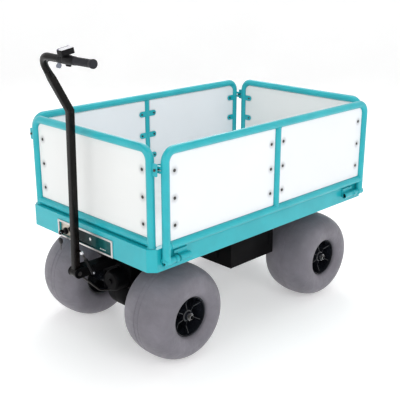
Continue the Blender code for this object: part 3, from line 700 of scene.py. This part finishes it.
def fence(tag, mirror):
    def done(bm):
        return flip(bm, 1) if mirror else bm

    parts = [sweep(portal(1, -FENCE_Y, FENCE_X, FENCE_TOP, DECK_TOP + GAP), circle(TUBE_R, 40),
                   (0, 1, 0))]
    parts.append(rod((-FENCE_X, -FENCE_Y, FENCE_LOW), (FENCE_X, -FENCE_Y, FENCE_LOW), RAIL_R, 40))
    back = -FENCE_Y + PANEL_T + GAP
    bolts, nuts, tabs = [], [], []
    for s in (-1, 1):
        parts.append(bead((s * FENCE_X, -FENCE_Y, DECK_TOP + GAP),
                          (s * FENCE_X, -FENCE_Y, DECK_TOP + 0.006), TUBE_R))
        hole = s * (FENCE_X - TAB_IN)
        for z in TAB_Z:
            tabs.append(prism(tab(s * (FENCE_X - POST_SINK), hole, z), 1, back, back + TAB_T))
            bolts.append(button((hole, -FENCE_Y, z), (0, -1, 0)))
            nuts.append(nut((hole, back + TAB_T, z), (0, 1, 0), 0.0052, 0.0034))
        lug = prism(rounded(0.0185, 0.0258, 0.006), 1, -0.693, -0.689)
        moved(lug, Matrix.Translation((s * 0.4085, 0, LATCH_Z)))
        hole_cut = rod((s * LATCH_X, -0.72, LATCH_Z), (s * LATCH_X, -0.68, LATCH_Z), 0.0044, 20)
        tabs.append(boolean(lug, [hole_cut]))
    piece("fence_%s_frame" % tag, done(join(*parts)), TEAL, "chassis", ["fence_" + tag])
    piece("fence_%s_tabs" % tag, done(join(*tabs)), TEAL, "chassis", bevel=0.0007, segments=2)
    piece("fence_%s_bolts" % tag, done(join(*bolts)), BOLT, "chassis")
    piece("fence_%s_nuts" % tag, done(join(*nuts)), BOLT, "chassis", angle=20)
    lo, hi = local_box("fence_front_panel")
    slab = prism(panel_shape(lo.x, hi.x, lo.z, hi.z, True, True), 1, lo.y, hi.y)
    piece("fence_%s_sheet" % tag, done(slab), SHADED_END_SHEET, "chassis",
          ["fence_%s_panel" % tag], bevel=0.0009)


def at_corner(bm, sx, sy):
    """Bring a shape drawn for the front left corner to its own corner."""
    if sx < 0:
        bm = flip(bm, 0)
    return flip(bm, 1) if sy > 0 else bm


def rail_hinge(tag, sx, sy):
    face = HALF_W + GAP
    cup = sleeve((GATE_X, -0.544, HINGE_Z), (GATE_X, -0.5395, HINGE_Z), 0.0118, 0.003)
    parts = [
        sleeve((GATE_X, -0.59, HINGE_Z), (GATE_X, -0.5438, HINGE_Z), 0.0135, 0.0083),
        sleeve((GATE_X, -0.544, HINGE_Z), (GATE_X, -0.53, HINGE_Z), 0.0142, 0.0116),
        sleeve((GATE_X, -0.59, HINGE_Z), (GATE_X, -0.583, HINGE_Z), 0.015, 0.0083),
    ]
    pads = [
        prism([(a - 0.56, b + HINGE_Z + 0.011) for a, b in rounded(0.028, 0.022, 0.005)], 0, face,
              face + 0.008),
        prism([(a - 0.597, b + HINGE_Z + 0.026) for a, b in rounded(0.011, 0.007, 0.003)], 0, face,
              face + 0.009),
    ]
    bore = rod((GATE_X, -0.7, HINGE_Z), (GATE_X, -0.5, HINGE_Z), 0.0083)
    pad = join(boolean(pads[0], [bore]), pads[1])
    piece("hinge_sleeve_" + tag, at_corner(join(*parts), sx, sy), TEAL, "chassis", ["hinge_" + tag])
    piece("hinge_pad_" + tag, at_corner(pad, sx, sy), TEAL, "chassis", bevel=0.001, segments=2)
    piece("hinge_bush_" + tag, at_corner(cup, sx, sy), PLASTIC, "chassis")


def latch(tag, sx, sy):
    profile = mm((0, 0), (0, 4.6), (0.6, 5.4), (3, 5.5), (3.8, 4.8), (4.5, 3.6), (28.2, 3.6), (29, 2.8),
                 (29, 0))
    bm = revolve((LATCH_X, -0.6985, LATCH_Z), (0, 1, 0), profile, 28)
    piece("latch_" + tag, at_corner(bm, sx, sy), BOLT, "pin_" + tag, ["latch_pin_" + tag])


# ---------------- control panel and keys
def control_panel():
    lo, hi = local_box("panel_bezel")
    bezel = boolean(box(lo, hi), [box((-0.196, -0.8, 0.481), (0.168, -0.7, 0.54))])
    piece("bezel_rim", bezel, BEZEL, "chassis", ["panel_bezel"], bevel=0.0013)
    screws = []
    for x in (-0.201, 0.1735):
        for z in (0.478, 0.5445):
            screws.append(button((x, lo.y, z), (0, -1, 0), 0.0022, 0.0012))
    lo, hi = local_box("panel_plate")
    piece("panel_face", box(lo, hi), PLATE, "chassis", ["panel_plate"], bevel=0.0006)
    lo, hi = local_box("panel_window")
    piece("panel_glass", box(lo, hi), WINDOW, "chassis", ["panel_window"], bevel=0.0012)
    marks = []
    for k in range(4):
        x = 0.09 + 0.01 * k
        marks.append(prism([(a + x, b + 0.49) for a, b in rounded(0.003, 0.0018, 0.0008, 3)], 1,
                           lo.y - 0.0003, lo.y + 0.0002))
    knob = mm((0, 0), (0, 5.2), (1.8, 5.2), (2.6, 4.4), (2.6, 0))
    marks.append(revolve((0.0215, lo.y + 0.0002, 0.513), (0, -1, 0), knob, 24))
    piece("panel_marks", join(*marks), WHITE_MARK, "chassis")
    ring = mm((0, 5.2), (0, 7.4), (1.4, 7.4), (1.8, 6.6), (1.4, 5.2))
    screws.append(revolve((0.0215, lo.y + 0.0001, 0.513), (0, -1, 0), ring, 28, ring=True))
    piece("panel_screws", join(*screws), STEEL, "chassis")
    switch = mm((0, 0), (0, 15), (5, 15), (6.4, 14.2), (7, 12.2), (9.4, 11.5), (9.8, 10.6), (9.8, 8),
                (9, 7), (9, 0))
    piece("lock_barrel", revolve((KEY.x, -0.7138, KEY.z), (0, -1, 0), switch, 48), PLASTIC, "chassis",
          ["key_switch"])
    socket = mm((0, 0), (0, 12.5), (5, 12.5), (8, 11), (9, 9.5), (8.6, 7), (4, 6), (4, 0))
    piece("charge_port", revolve((-0.1195, -0.7138, 0.52), (0, -1, 0), socket, 40), PLASTIC, "chassis",
          ["charge_socket"])


def bow_shape(y, z):
    """Oval outline of a key's bow."""
    ry, rz, steps = 0.0125, 0.0115, 28
    pts = []
    for k in range(steps):
        a = 2 * pi * k / steps
        pts.append((y + ry * cos(a), z + rz * sin(a)))
    return pts


def keys():
    y0 = KEY.y - 0.0003
    hole = rod((KEY.x - 0.01, y0 - 0.021, KEY.z), (KEY.x + 0.01, y0 - 0.021, KEY.z), 0.0038, 20)
    bow = boolean(prism(bow_shape(y0 - 0.015, KEY.z), 0, KEY.x - 0.0022, KEY.x + 0.0022), [hole])
    neck = box((KEY.x - 0.0017, y0 - 0.005, KEY.z - 0.0045),
               (KEY.x + 0.0017, y0 - 0.001, KEY.z + 0.0045))
    piece("lock_key_bow", join(bow, neck), PLASTIC, "key", ["ignition_key"], bevel=0.0007)
    blade = box((KEY.x - 0.0012, y0 - 0.004, KEY.z - 0.0035), (KEY.x + 0.0012, y0, KEY.z + 0.0035))
    piece("lock_key_blade", blade, STEEL, "key", bevel=0.0003)
    r = 0.013
    centre = Vector((KEY.x, y0 - 0.021, KEY.z - r + 0.0015))
    rings = []
    for k in range(40):
        a = 2 * pi * k / 40
        out = Vector((cos(a), 0, sin(a)))
        rings.append([centre + out * (r + 0.0008 * cos(b)) + Vector((0, 0.0008 * sin(b), 0))
                      for b in (pi * j / 4 for j in range(8))])
    piece("key_ring", loft(rings, closed=True), STEEL, "spare")
    mid_z = centre.z - r - 0.014
    disc = mm((0, 0), (0, 13.6), (0.8, 14.7), (2.6, 15), (4.4, 14.7), (5.2, 13.6), (5.2, 0))
    head = revolve((centre.x, centre.y - 0.0026, mid_z), (0, 1, 0), disc, 36)
    piece("spare_head", head, PLASTIC, "spare", ["spare_key"])
    teeth = mm((-3.6, -26), (3.6, -26), (3.6, -39), (2, -41.2), (3.2, -44), (1.8, -46.8), (3, -49.6),
               (1.4, -54), (0, -59), (-3.6, -55.6))
    low = centre.z - r
    blade = prism([(centre.x + a, low + b) for a, b in teeth], 1, centre.y - 0.0011, centre.y + 0.0011)
    piece("spare_blade", blade, BOLT, "spare", angle=20)


# ---------------- underbody
def underbody():
    y = middle("front_axle").y
    wheel_z = middle("tyre_fl").z
    base = mm((330, 0), (330, 19), (331, 20), (437.5, 20), (437.5, 139), (438.5, 140), (454, 140),
              (455, 139), (455, 100), (499.7, 100), (499.7, 0))
    piece("turntable", revolve((0, y, 0), (0, 0, 1), base, 64), BLACK, "chassis", ["turntable_base"])

    lo, hi = local_box("battery_box")
    shell = boolean(box(lo, hi),
                    [box((lo.x + 0.004, lo.y + 0.004, lo.z + 0.004),
                         (hi.x - 0.004, hi.y - 0.004, 0.6))])
    piece("battery_tray", shell, BLACK, "chassis", ["battery_box"], bevel=0.003)
    ribs = []
    for x in (-0.18, -0.09, 0.0, 0.09, 0.18):
        for face in (lo.y, hi.y):
            out = -1 if face == lo.y else 1
            ribs.append(box((x - 0.006, face, lo.z + 0.03),
                            (x + 0.006, face + out * 0.003, 0.46)))
    clip_y = hi.y - 0.03
    for s in (-1, 1):
        edge = s * hi.x
        ribs.append(box((edge, clip_y - 0.009, 0.318), (edge + s * 0.003, clip_y + 0.009, 0.375)))
    piece("battery_ribs", join(*ribs), BLACK, "chassis", bevel=0.001, segments=2)
    lo, hi = local_box("battery_pack")
    piece("battery_block", box(lo, hi), CASE, "chassis", ["battery_pack"], bevel=0.004)
    lo, hi = local_box("motor_controller")
    fins = [box(lo, (hi.x, hi.y, hi.z - 0.01))]
    for k in range(9):
        x = lo.x + 0.01 + k * (hi.x - lo.x - 0.02) / 8
        fins.append(box((x - 0.003, lo.y + 0.004, hi.z - 0.012), (x + 0.003, hi.y - 0.004, hi.z)))
    piece("controller_case", join(*fins), CAST, "chassis", ["motor_controller"], bevel=0.0008)

    ry = middle("rear_axle").y
    stub = 9.8  # radius in the hub, mm
    profile = mm((-413, 0), (-413, stub - 1), (-412, stub), (-164, stub), (-164, 19), (-163, 20),
                 (163, 20), (164, 19), (164, stub), (412, stub), (413, stub - 1), (413, 0))
    piece("rear_shaft", revolve((0, ry, wheel_z), (1, 0, 0), profile, 40), BLACK, "chassis",
          ["rear_axle"])
    legs = box((-0.14, ry - 0.045, 0.43), (0.14, ry + 0.045, 0.4997))
    plates = [box((x - 0.006, ry - 0.035, 0.178), (x + 0.006, ry + 0.035, 0.44)) for x in (-0.13, 0.13)]
    hole = rod((-0.2, ry, wheel_z), (0.2, ry, wheel_z), 0.0206)
    mount = boolean(boolean(legs, plates, "UNION"), [hole])
    piece("rear_mount", mount, BLACK, "chassis", ["rear_subframe"], bevel=0.002)

    disc = revolve((0, y, 0.405), (0, 0, 1),
                   mm((0, 0), (0, 139), (1, 140), (31, 140), (32, 139), (32, 0)), 64)
    block = box((-0.105, y - 0.07, 0.295), (0.105, y + 0.07, 0.41))
    cheeks = [box((x - 0.006, y - 0.035, 0.178), (x + 0.006, y + 0.035, 0.408))
              for x in (-0.135, 0.135)]
    bridge = box((-0.14, y - 0.035, 0.37), (0.14, y + 0.035, 0.408))
    fork = boolean(disc, [block, *cheeks, bridge], "UNION")
    fork = boolean(fork,
                   [rod((0, y, 0.3), (0, y, 0.5), 0.0205, 40),
                    rod((-0.2, y, wheel_z), (0.2, y, wheel_z), 0.0206)])
    piece("front_fork", fork, BLACK, "front_truck", ["steering_fork"], bevel=0.0025)

    half = mm((0, 79.2), (4, 79.2), (5, 80), (18, 80), (45, 78.8), (58, 74.5), (70, 66.5), (82, 54),
              (90, 43), (98, 33), (106, 24.5), (115, 20.5), (163, 20), (164, 19), (164, stub),
              (412, stub), (413, stub - 1), (413, 0))
    full = [(-t, r) for t, r in reversed(half[1:])] + half
    piece("front_shaft", revolve((0, y, wheel_z), (1, 0, 0), full, 64), BLACK, "front_truck",
          ["front_axle"])
    rim_bolts = []
    for k in range(10):
        a = 2 * pi * k / 10
        at = Vector((0.064, y + 0.0655 * cos(a), wheel_z + 0.0655 * sin(a)))
        rim_bolts.append(nut(at, (1, 0, 0), 0.005, 0.004))
    piece("gear_case_bolts", join(*rim_bolts), BOLT, "front_truck", angle=20)
    motor = mm((0, 0), (0, 47), (1, 48), (9, 48), (10, 46.2), (13, 46.2), (14, 48), (50, 48), (58, 47),
               (64, 44), (68, 39), (68, 12.5), (75, 12), (76, 11), (76, 0))
    piece("motor_case", revolve((0.045, y - 0.0703, 0.301), (0, -1, 0), motor, 56), BLACK,
          "front_truck", ["drive_motor"])
    wires = []
    for k, x in enumerate((0.02, 0.028, 0.036)):
        path = [Vector((x, y - 0.078, 0.344)), Vector((x, y - 0.083, 0.35)),
                Vector((x, y - 0.085, 0.357)),
                Vector((x, y - 0.083, 0.364)), Vector((x, y - 0.074, 0.368))]
        wires.append(sweep(path, circle(0.0028, 12), (1, 0, 0)))
    piece("motor_leads", join(*wires), PLASTIC, "front_truck")

    beam = box((-0.022, -0.748, 0.357), (0.022, y - 0.0703, 0.395))
    ears = []
    for s in (-1, 1):
        shape = [(-0.7, 0.354), (-0.7, 0.398)]
        for k in range(17):
            a = pi / 2 + pi * k / 16
            shape.append((PIVOT.y + 0.022 * cos(a), PIVOT.z + 0.022 * sin(a)))
        lo_x, hi_x = sorted((s * 0.021, s * 0.027))
        ears.append(prism(shape, 0, lo_x, hi_x))
    foot = rod((0.02, FOOT.y, FOOT.z), (FOOT.x + 0.008, FOOT.y, FOOT.z), 0.004)
    bore = rod((-0.05, PIVOT.y, PIVOT.z), (0.05, PIVOT.y, PIVOT.z), 0.0063)
    drawbar = boolean(boolean(beam, ears, "UNION"), [bore])
    piece("drawbar", drawbar, BLACK, "front_truck", ["tongue"], bevel=0.0016)
    piece("strut_foot_pin",
          join(foot, nut((FOOT.x + 0.0048, FOOT.y, FOOT.z), (1, 0, 0), 0.0062, 0.0036)), STEEL,
          "front_truck")
    bolt = mm((-27.3, 9.8), (-27.3, 6), (27.3, 6), (27.3, 9.5), (30, 9.5), (30, 0))
    shank = revolve(PIVOT, (1, 0, 0), [(-0.028, 0)] + bolt, 32)
    head = revolve(PIVOT, (-1, 0, 0), mm((28.5, 0), (28.5, 10), (34, 10), (35, 9), (35, 0)), 6)
    piece("tilt_bolt", join(shank, head), BOLT, "front_truck", ["pivot_bolt"], angle=25)
    a, b = Vector((-0.01, -0.756, 0.35)), Vector((-0.01, -0.656, 0.2468))
    c = Vector((-0.01, -0.579, 0.225))
    path = [a, a.lerp(b, 0.88), a.lerp(b, 0.95), b.lerp(c, 0.02) + Vector((0, 0, 0.001)),
            b.lerp(c, 0.1), b.lerp(c, 0.2), c]
    piece("drawbar_brace", sweep(path, circle(0.004, 20), (1, 0, 0)), BOLT, "front_truck",
          ["tongue_brace"], slot="black_coat", angle=60)


# ---------------- handle
def on_bend(x, s):
    return BAR_CORNER + Vector((x, 0, 0)) - UP * s


def handle():
    low = PIVOT + (MITRE - PIVOT).normalized() * 0.01
    path, sections = [low], [rounded(0.0145, 0.0145, 0.0042, 4)]
    for k in range(8):
        blend = max(0.0, k - 1) / 6
        path.append(MITRE if k == 0 else BAR_CORNER - UP * (0.108 - 0.035 * blend))
        section = []
        for a, b in sections[0]:
            scale = NECK_R / hypot(a, b)
            section.append((a + (a * scale - a) * blend, b + (b * scale - b) * blend))
        sections.append(section)
    tube = morph(path, sections, (1, 0, 0))
    piece("handle_post", tube, HANDLE_COAT, "handle", ["handle_tube"], angle=30)
    barrel = sleeve((-0.0205, PIVOT.y, PIVOT.z), (0.0205, PIVOT.y, PIVOT.z), 0.021, 0.0063, 48, 0.0012)
    stud = rod((0.01, BALL.y, BALL.z), (BALL.x + 0.006, BALL.y, BALL.z), 0.004)
    collar = rod((0.015, BALL.y, BALL.z), (0.026, BALL.y, BALL.z), 0.0078, 6)
    piece("handle_eye", join(barrel, stud, collar), HANDLE_COAT, "handle")
    bend = arc(on_bend(BAR_BEND, BAR_BEND), on_bend(0, BAR_BEND), on_bend(BAR_BEND, 0), 20)
    path = [on_bend(0, 0.075 - 0.0003), *bend, on_bend(0.09, 0), on_bend(0.125, 0), on_bend(0.333, 0)]
    normal = UP.cross(RIGHT)
    radii = [NECK_R - 0.0002] * (len(path) - 3) + [0.014, BAR_R, BAR_R]
    piece("control_bar", morph(path, [circle(r, 40) for r in radii], normal), HANDLE_COAT, "handle",
          ["handle_bar"])
    y, z = BAR_CORNER.y, BAR_CORNER.z
    bore = BAR_R + GAP
    weld = revolve(on_bend(0, 0.0745), UP, mm((0, 10), (0, 15), (1.8, 15.6), (4, 14.9), (4, 10)),
                   36, ring=True)
    piece("bar_weld", weld, HANDLE_COAT, "handle")

    grip = [(0.236, bore), (0.236, 0.0152), (0.2368, 0.016), (0.24, 0.0158), (0.241, 0.015)]
    t = 0.244
    while t < 0.324:
        grip += [(t, 0.015), (t + 0.0004, 0.0144), (t + 0.0012, 0.0144), (t + 0.0016, 0.015)]
        t += 0.0048
    grip += [(0.326, 0.015), (0.33, 0.0156), (0.3335, 0.017), (0.337, 0.0174), (0.341, 0.0174),
             (0.3432, 0.0166),
             (0.344, 0.015), (0.3436, 0.012), (0.3428, 0.01), (0.3428, 0), (0.3336, 0), (0.3336, bore)]
    piece("hand_grip", revolve((0, y, z), (1, 0, 0), grip, 56, ring=True), GRIP, "handle", ["grip"])
    clamp = [(0.171, bore), (0.171, 0.0166), (0.1716, 0.0172), (0.174, 0.018), (0.176, 0.0182),
             (0.2, 0.0182),
             (0.206, 0.0178), (0.214, 0.0168), (0.234, 0.0163), (0.2355, 0.0158), (0.2355, bore)]
    lug = box((0.18, y - 0.005, z - 0.024), (0.204, y + 0.005, z - 0.017))
    piece("throttle_body", revolve((0, y, z), (1, 0, 0), clamp, 56, ring=True), PLASTIC, "handle",
          ["throttle_clamp"])
    piece("throttle_lug", lug, PLASTIC, "handle", bevel=0.0016)

    band = sleeve((0.1545, y, z), (0.1705, y, z), 0.0175, bore, 48)
    tilt = Matrix.Translation((0.181, y - 0.002, z + 0.031)) @ Matrix.Rotation(radians(10), 4, "X")
    case = moved(prism(rounded(0.018, 0.028, 0.0055), 2, -0.0135, 0.008), tilt)
    post = box((0.156, y - 0.008, z + 0.014), (0.17, y + 0.008, z + 0.026))
    piece("display_band", band, PLASTIC, "handle")
    piece("display_case", join(case, post), PLASTIC, "handle", ["display"], bevel=0.0016)
    strip = prism([(a + 0.0072, b) for a, b in rounded(0.0094, 0.0266, 0.0035)], 2, 0.0081, 0.0128)
    piece("display_rim", moved(strip, tilt), CHROME, "handle", ["display_cover"], bevel=0.0008)
    glass = moved(prism([(a - 0.0097, b) for a, b in rounded(0.007, 0.0262, 0.003)], 2, 0.0081, 0.0121),
                  tilt)
    piece("display_glass", glass, SCREEN, "handle", angle=30)

    off = 0.0184
    mid = on_bend(BAR_BEND, BAR_BEND)
    curve = arc(mid, on_bend(BAR_BEND, off), on_bend(off, BAR_BEND), 16)
    route = [on_bend(0.1346, off), *curve, on_bend(off, 0.1)]
    cable = sweep(route, circle(0.0024, 16), normal)
    piece("throttle_lead", cable, PLASTIC, "handle", ["throttle_cable"], slot="cable_jacket")

    ring = sleeve((0.135, y, z), (0.1542, y, z), 0.0175, bore, 48)
    place = Matrix.Translation((0, y, z)) @ Matrix.Rotation(radians(-25), 4, "X")
    root = prism(((0.138, -0.023), (0.138, -0.0145), (0.152, -0.0145), (0.152, -0.023)), 1, -0.003,
                 0.003)
    paddle = prism([(a + 0.148, b - 0.0275) for a, b in rounded(0.0135, 0.0085, 0.0068)], 1, -0.003,
                   0.003)
    piece("lever_ring", ring, PLASTIC, "throttle", ["throttle_lever"], slot="lever_plastic")
    piece("lever_paddle", moved(join(root, paddle), place), LEVER, "throttle", bevel=0.0012)


def strut():
    axis = (BALL - FOOT).normalized()
    reach = (BALL - FOOT).length
    shell = mm((4, 0), (4, 6), (6, 7.8), (8, 8), (70, 8), (71.2, 7.4), (72.4, 8), (76.8, 8), (78, 7),
               (78, 5.5), (16, 5.5), (16, 0))
    eye = sleeve(FOOT - RIGHT * 0.0045, FOOT + RIGHT * 0.0045, 0.009, 0.0043, 36)
    piece("damper_tube", join(revolve(FOOT, axis, shell, 40), eye), PLASTIC, "strut_lower",
          ["strut_cylinder"], slot="black_coat")
    stem = rod(FOOT + axis * 0.02, FOOT + axis * (reach - 0.004), 0.0034, 28)
    ball = []
    for k in range(13):
        a = pi * (0.18 + 0.64 * k / 12)
        ball.append((-0.0098 * cos(a), 0.0098 * sin(a)))
    ball = [(ball[0][0], 0.0043)] + ball + [(ball[-1][0], 0.0043)]
    head = revolve(BALL, (1, 0, 0), ball, 36, ring=True)
    piece("damper_rod", stem, BOLT, "strut_upper", ["strut_rod"])
    piece("damper_eye", head, STEEL, "strut_upper")
    cap = nut((BALL.x + 0.0056, BALL.y, BALL.z), (1, 0, 0), 0.0056, 0.003)
    piece("strut_head_nut", cap, STEEL, "handle", angle=20)


# ---------------- wheels
def tyre_section(width, radius):
    """Half section from the tread's middle round the sidewall into the rim."""
    shoulder, power = 0.133, 2.3
    tall = radius - shoulder
    out = []
    steps = 40
    for k in range(steps):
        a = pi / 2 * k / steps
        out.append((width * sin(a) ** (2 / power), shoulder + tall * cos(a) ** (2 / power)))
    lo, hi, groove_depth = 0.0105, 0.014, 0.0013  # a shallow groove on either side of the middle
    out = [p for p in out if not lo - 0.0008 < p[0] < hi + 0.0008]
    for t in (lo - 0.0006, lo, (lo + hi) / 2, hi, hi + 0.0006):
        base = shoulder + tall * (1 - (t / width) ** power) ** (1 / power)
        out.append((t, base - (groove_depth if lo <= t <= hi else 0.0)))
    out.sort(key=lambda p: p[0])
    out.append((width, shoulder))
    for k in range(1, 11):
        a = pi / 2 * k / 10
        out.append((width - 0.026 + 0.026 * cos(a), shoulder - 0.0427 * sin(a)))
    return [(-t, r) for t, r in reversed(out[1:])] + out


def blade(rows):
    """Loft of rings of four: radius, start and end along the axle, half widths there."""
    return loft([[Vector((t, w, r)) for t, w in ((t0, -w0), (t1, -w1), (t1, w1), (t0, w0))]
                 for r, t0, t1, w0, w1 in rows])


def wheel(tag):
    lo, hi = local_box("tyre_" + tag)
    centre = middle("tyre_" + tag)
    centre.z = WHEEL_R
    side = 1 if centre.x > 0 else -1
    body = "wheel_" + tag
    section = tyre_section((hi.x - lo.x) / 2, WHEEL_R)
    piece("balloon_" + tag, revolve(centre, (side, 0, 0), section, 112, ring=True), TYRE, body,
          ["tyre_" + tag], angle=50)
    stem = Matrix.Translation(centre) @ Matrix.Rotation(2.6, 4, "X")
    valve = rod((0.092 * side, 0, 0.1), (0.112 * side, 0, 0.096), 0.0032, 20, r1=0.0024)
    piece("valve_" + tag, moved(valve, stem), GRIP, body, slot="tyre_skin")

    rim = mm((-104, 85), (-104, 89), (-103, 90.2), (100, 90.2), (103.6, 89.8), (105.2, 88),
             (105.6, 86.2), (104.6, 84.6), (101, 83.8), (90, 82.6), (60, 79.5), (30, 78.2), (0, 77.6),
             (-30, 78.4), (-90, 82.6))
    barrel = revolve(centre, (side, 0, 0), rim, 96, ring=True)
    boss = mm((-120, 10.3), (-120, 23.5), (-119, 24), (30, 31.8), (42, 31.8), (44.5, 30.8),
              (45.5, 28.5), (86, 26.8), (90, 25.8), (91.5, 23.6), (92.5, 20), (104, 18.4),
              (105.6, 17.2), (106, 15), (106, 10.3))
    core = revolve(centre, (side, 0, 0), boss, 64, ring=True)
    piece("hub_shell_" + tag, join(barrel, core), HUB, body, ["hub_" + tag])
    spokes = []
    for k in range(6):
        # a tapered web, wide at the rim, with a raised rib on its outer face
        web = blade(((0.026, -0.024, 0.04, 0.0075, 0.0075), (0.05, -0.022, 0.03, 0.0085, 0.0085),
                     (0.08, -0.022, 0.034, 0.015, 0.015)))
        rib = blade(((0.024, 0.03, 0.088, 0.0034, 0.0022), (0.05, 0.026, 0.08, 0.0034, 0.0022),
                     (0.081, 0.03, 0.096, 0.0034, 0.0022)))
        spoke = join(web, rib)
        turn = Matrix.Rotation(pi * k / 3, 4, "X") @ Matrix.Diagonal((side, 1, 1, 1))
        spokes.append(moved(spoke, Matrix.Translation(centre) @ turn))
    piece("hub_spokes_" + tag, join(*spokes), HUB, body, bevel=0.0014)
    owner = "front_truck" if tag[0] == "f" else "chassis"
    out = Vector((side, 0, 0))
    face = centre + out * 0.1063
    washer = revolve(face, out, mm((0, 9.9), (0, 15), (1.4, 15), (1.4, 9.9)), 36, ring=True)
    end = revolve(face, out, mm((5, 0), (5, 9.6), (7.8, 9.6), (8.4, 8.8), (8.4, 4), (7, 3), (7, 0)), 32)
    piece("axle_end_" + tag, join(washer, end), STEEL, owner)
    hexnut = revolve(face + out * 0.0014, out, mm((0, 9.9), (0, 14), (5, 14), (5, 9.9)), 6, ring=True)
    piece("axle_nut_" + tag, hexnut, BOLT, owner, bevel=0.0006, segments=2)


deck()
control_panel()
keys()
underbody()
handle()
strut()
for wheel_tag in ("fl", "fr", "rl", "rr"):
    wheel(wheel_tag)
side_gate("left", False)
side_gate("right", True)
fence("front", False)
fence("rear", True)
for corner_tag, corner_x, corner_y in (("fl", 1, -1), ("fr", -1, -1), ("rl", 1, 1), ("rr", -1, 1)):
    rail_hinge(corner_tag, corner_x, corner_y)
    latch(corner_tag, corner_x, corner_y)


# ---------------- stage, light and camera
def stage():
    floor_mat = Nodes("studio_floor", Roughness=0.9, Specular_IOR_Level=0.0)
    cloud = floor_mat.ramp(floor_mat.noise(1.5, 2.0), 0.0, 1.0, 0.3, 0.7)
    colour = floor_mat.mix(cloud, (0.88, 0.88, 0.88), (0.9, 0.9, 0.9))
    floor_mat.shader.inputs["Emission Color"].default_value = (1.0, 1.0, 1.0, 1.0)
    floor_mat.shader.inputs["Emission Strength"].default_value = 0.32
    floor_mat.finish(colour)
    floor_r, curve_r, wall_top, steps = 6.0, 2.5, 8.0, 16
    profile = [(0.0, 0.0), (floor_r, 0.0)]
    for k in range(1, steps + 1):
        a = pi / 2 * k / steps
        profile.append((floor_r + curve_r * sin(a), curve_r - curve_r * cos(a)))
    profile.append((floor_r + curve_r, wall_top))
    bm = revolve((0, 0, -0.0005), (0, 0, 1), [(height, radius) for radius, height in profile], 96)
    mesh = bpy.data.meshes.new("studio_floor")
    bm.to_mesh(mesh)
    bm.free()
    mesh.shade_smooth()
    mesh.materials.append(floor_mat.mat)
    floor = bpy.data.objects.new("studio_floor", mesh)
    bpy.context.scene.collection.objects.link(floor)


def area(name, place, target, size, power):
    light = bpy.data.lights.new(name, "AREA")
    light.shape = "RECTANGLE"
    light.size, light.size_y = size
    light.energy = power
    obj = bpy.data.objects.new(name, light)
    obj.location = place
    obj.rotation_euler = (Vector(target) - Vector(place)).to_track_quat("-Z", "Y").to_euler()
    bpy.context.scene.collection.objects.link(obj)


def camera():
    azimuth, elevation = radians(45.333), radians(18.421)
    lens = bpy.data.cameras.new("camera")
    lens.lens = 67.811
    lens.sensor_width = 36.0
    obj = bpy.data.objects.new("camera", lens)
    obj.location = Vector((2.4584, -2.4739, 1.676)) + SHIFT
    obj.rotation_euler = (pi / 2 - elevation, 0.0, azimuth)
    bpy.context.scene.collection.objects.link(obj)
    bpy.context.scene.camera = obj


stage()
area("key_light", (4.8, -1.7, 4.3), (0.0, 0.0, 0.5), (3.4, 3.4), 84)
area("front_light", (0.2, -4.4, 2.2), (0.0, -0.3, 0.6), (2.8, 2.0), 20)
area("top_light", (-0.4, 0.6, 4.2), (0.0, 0.1, 0.5), (3.6, 3.6), 76)
area("rim_light", (-3.2, 3.0, 3.4), (0.0, 0.0, 0.7), (2.4, 2.0), 52)
camera()
world = bpy.data.worlds.new("studio")
bpy.context.scene.world = world
world.use_nodes = True
sky = world.node_tree.nodes["Background"]
sky.inputs["Color"].default_value = (1.0, 1.0, 1.0, 1.0)
sky.inputs["Strength"].default_value = 0.19
bpy.context.scene.view_settings.view_transform = "Standard"

bpy.context.view_layer.update()
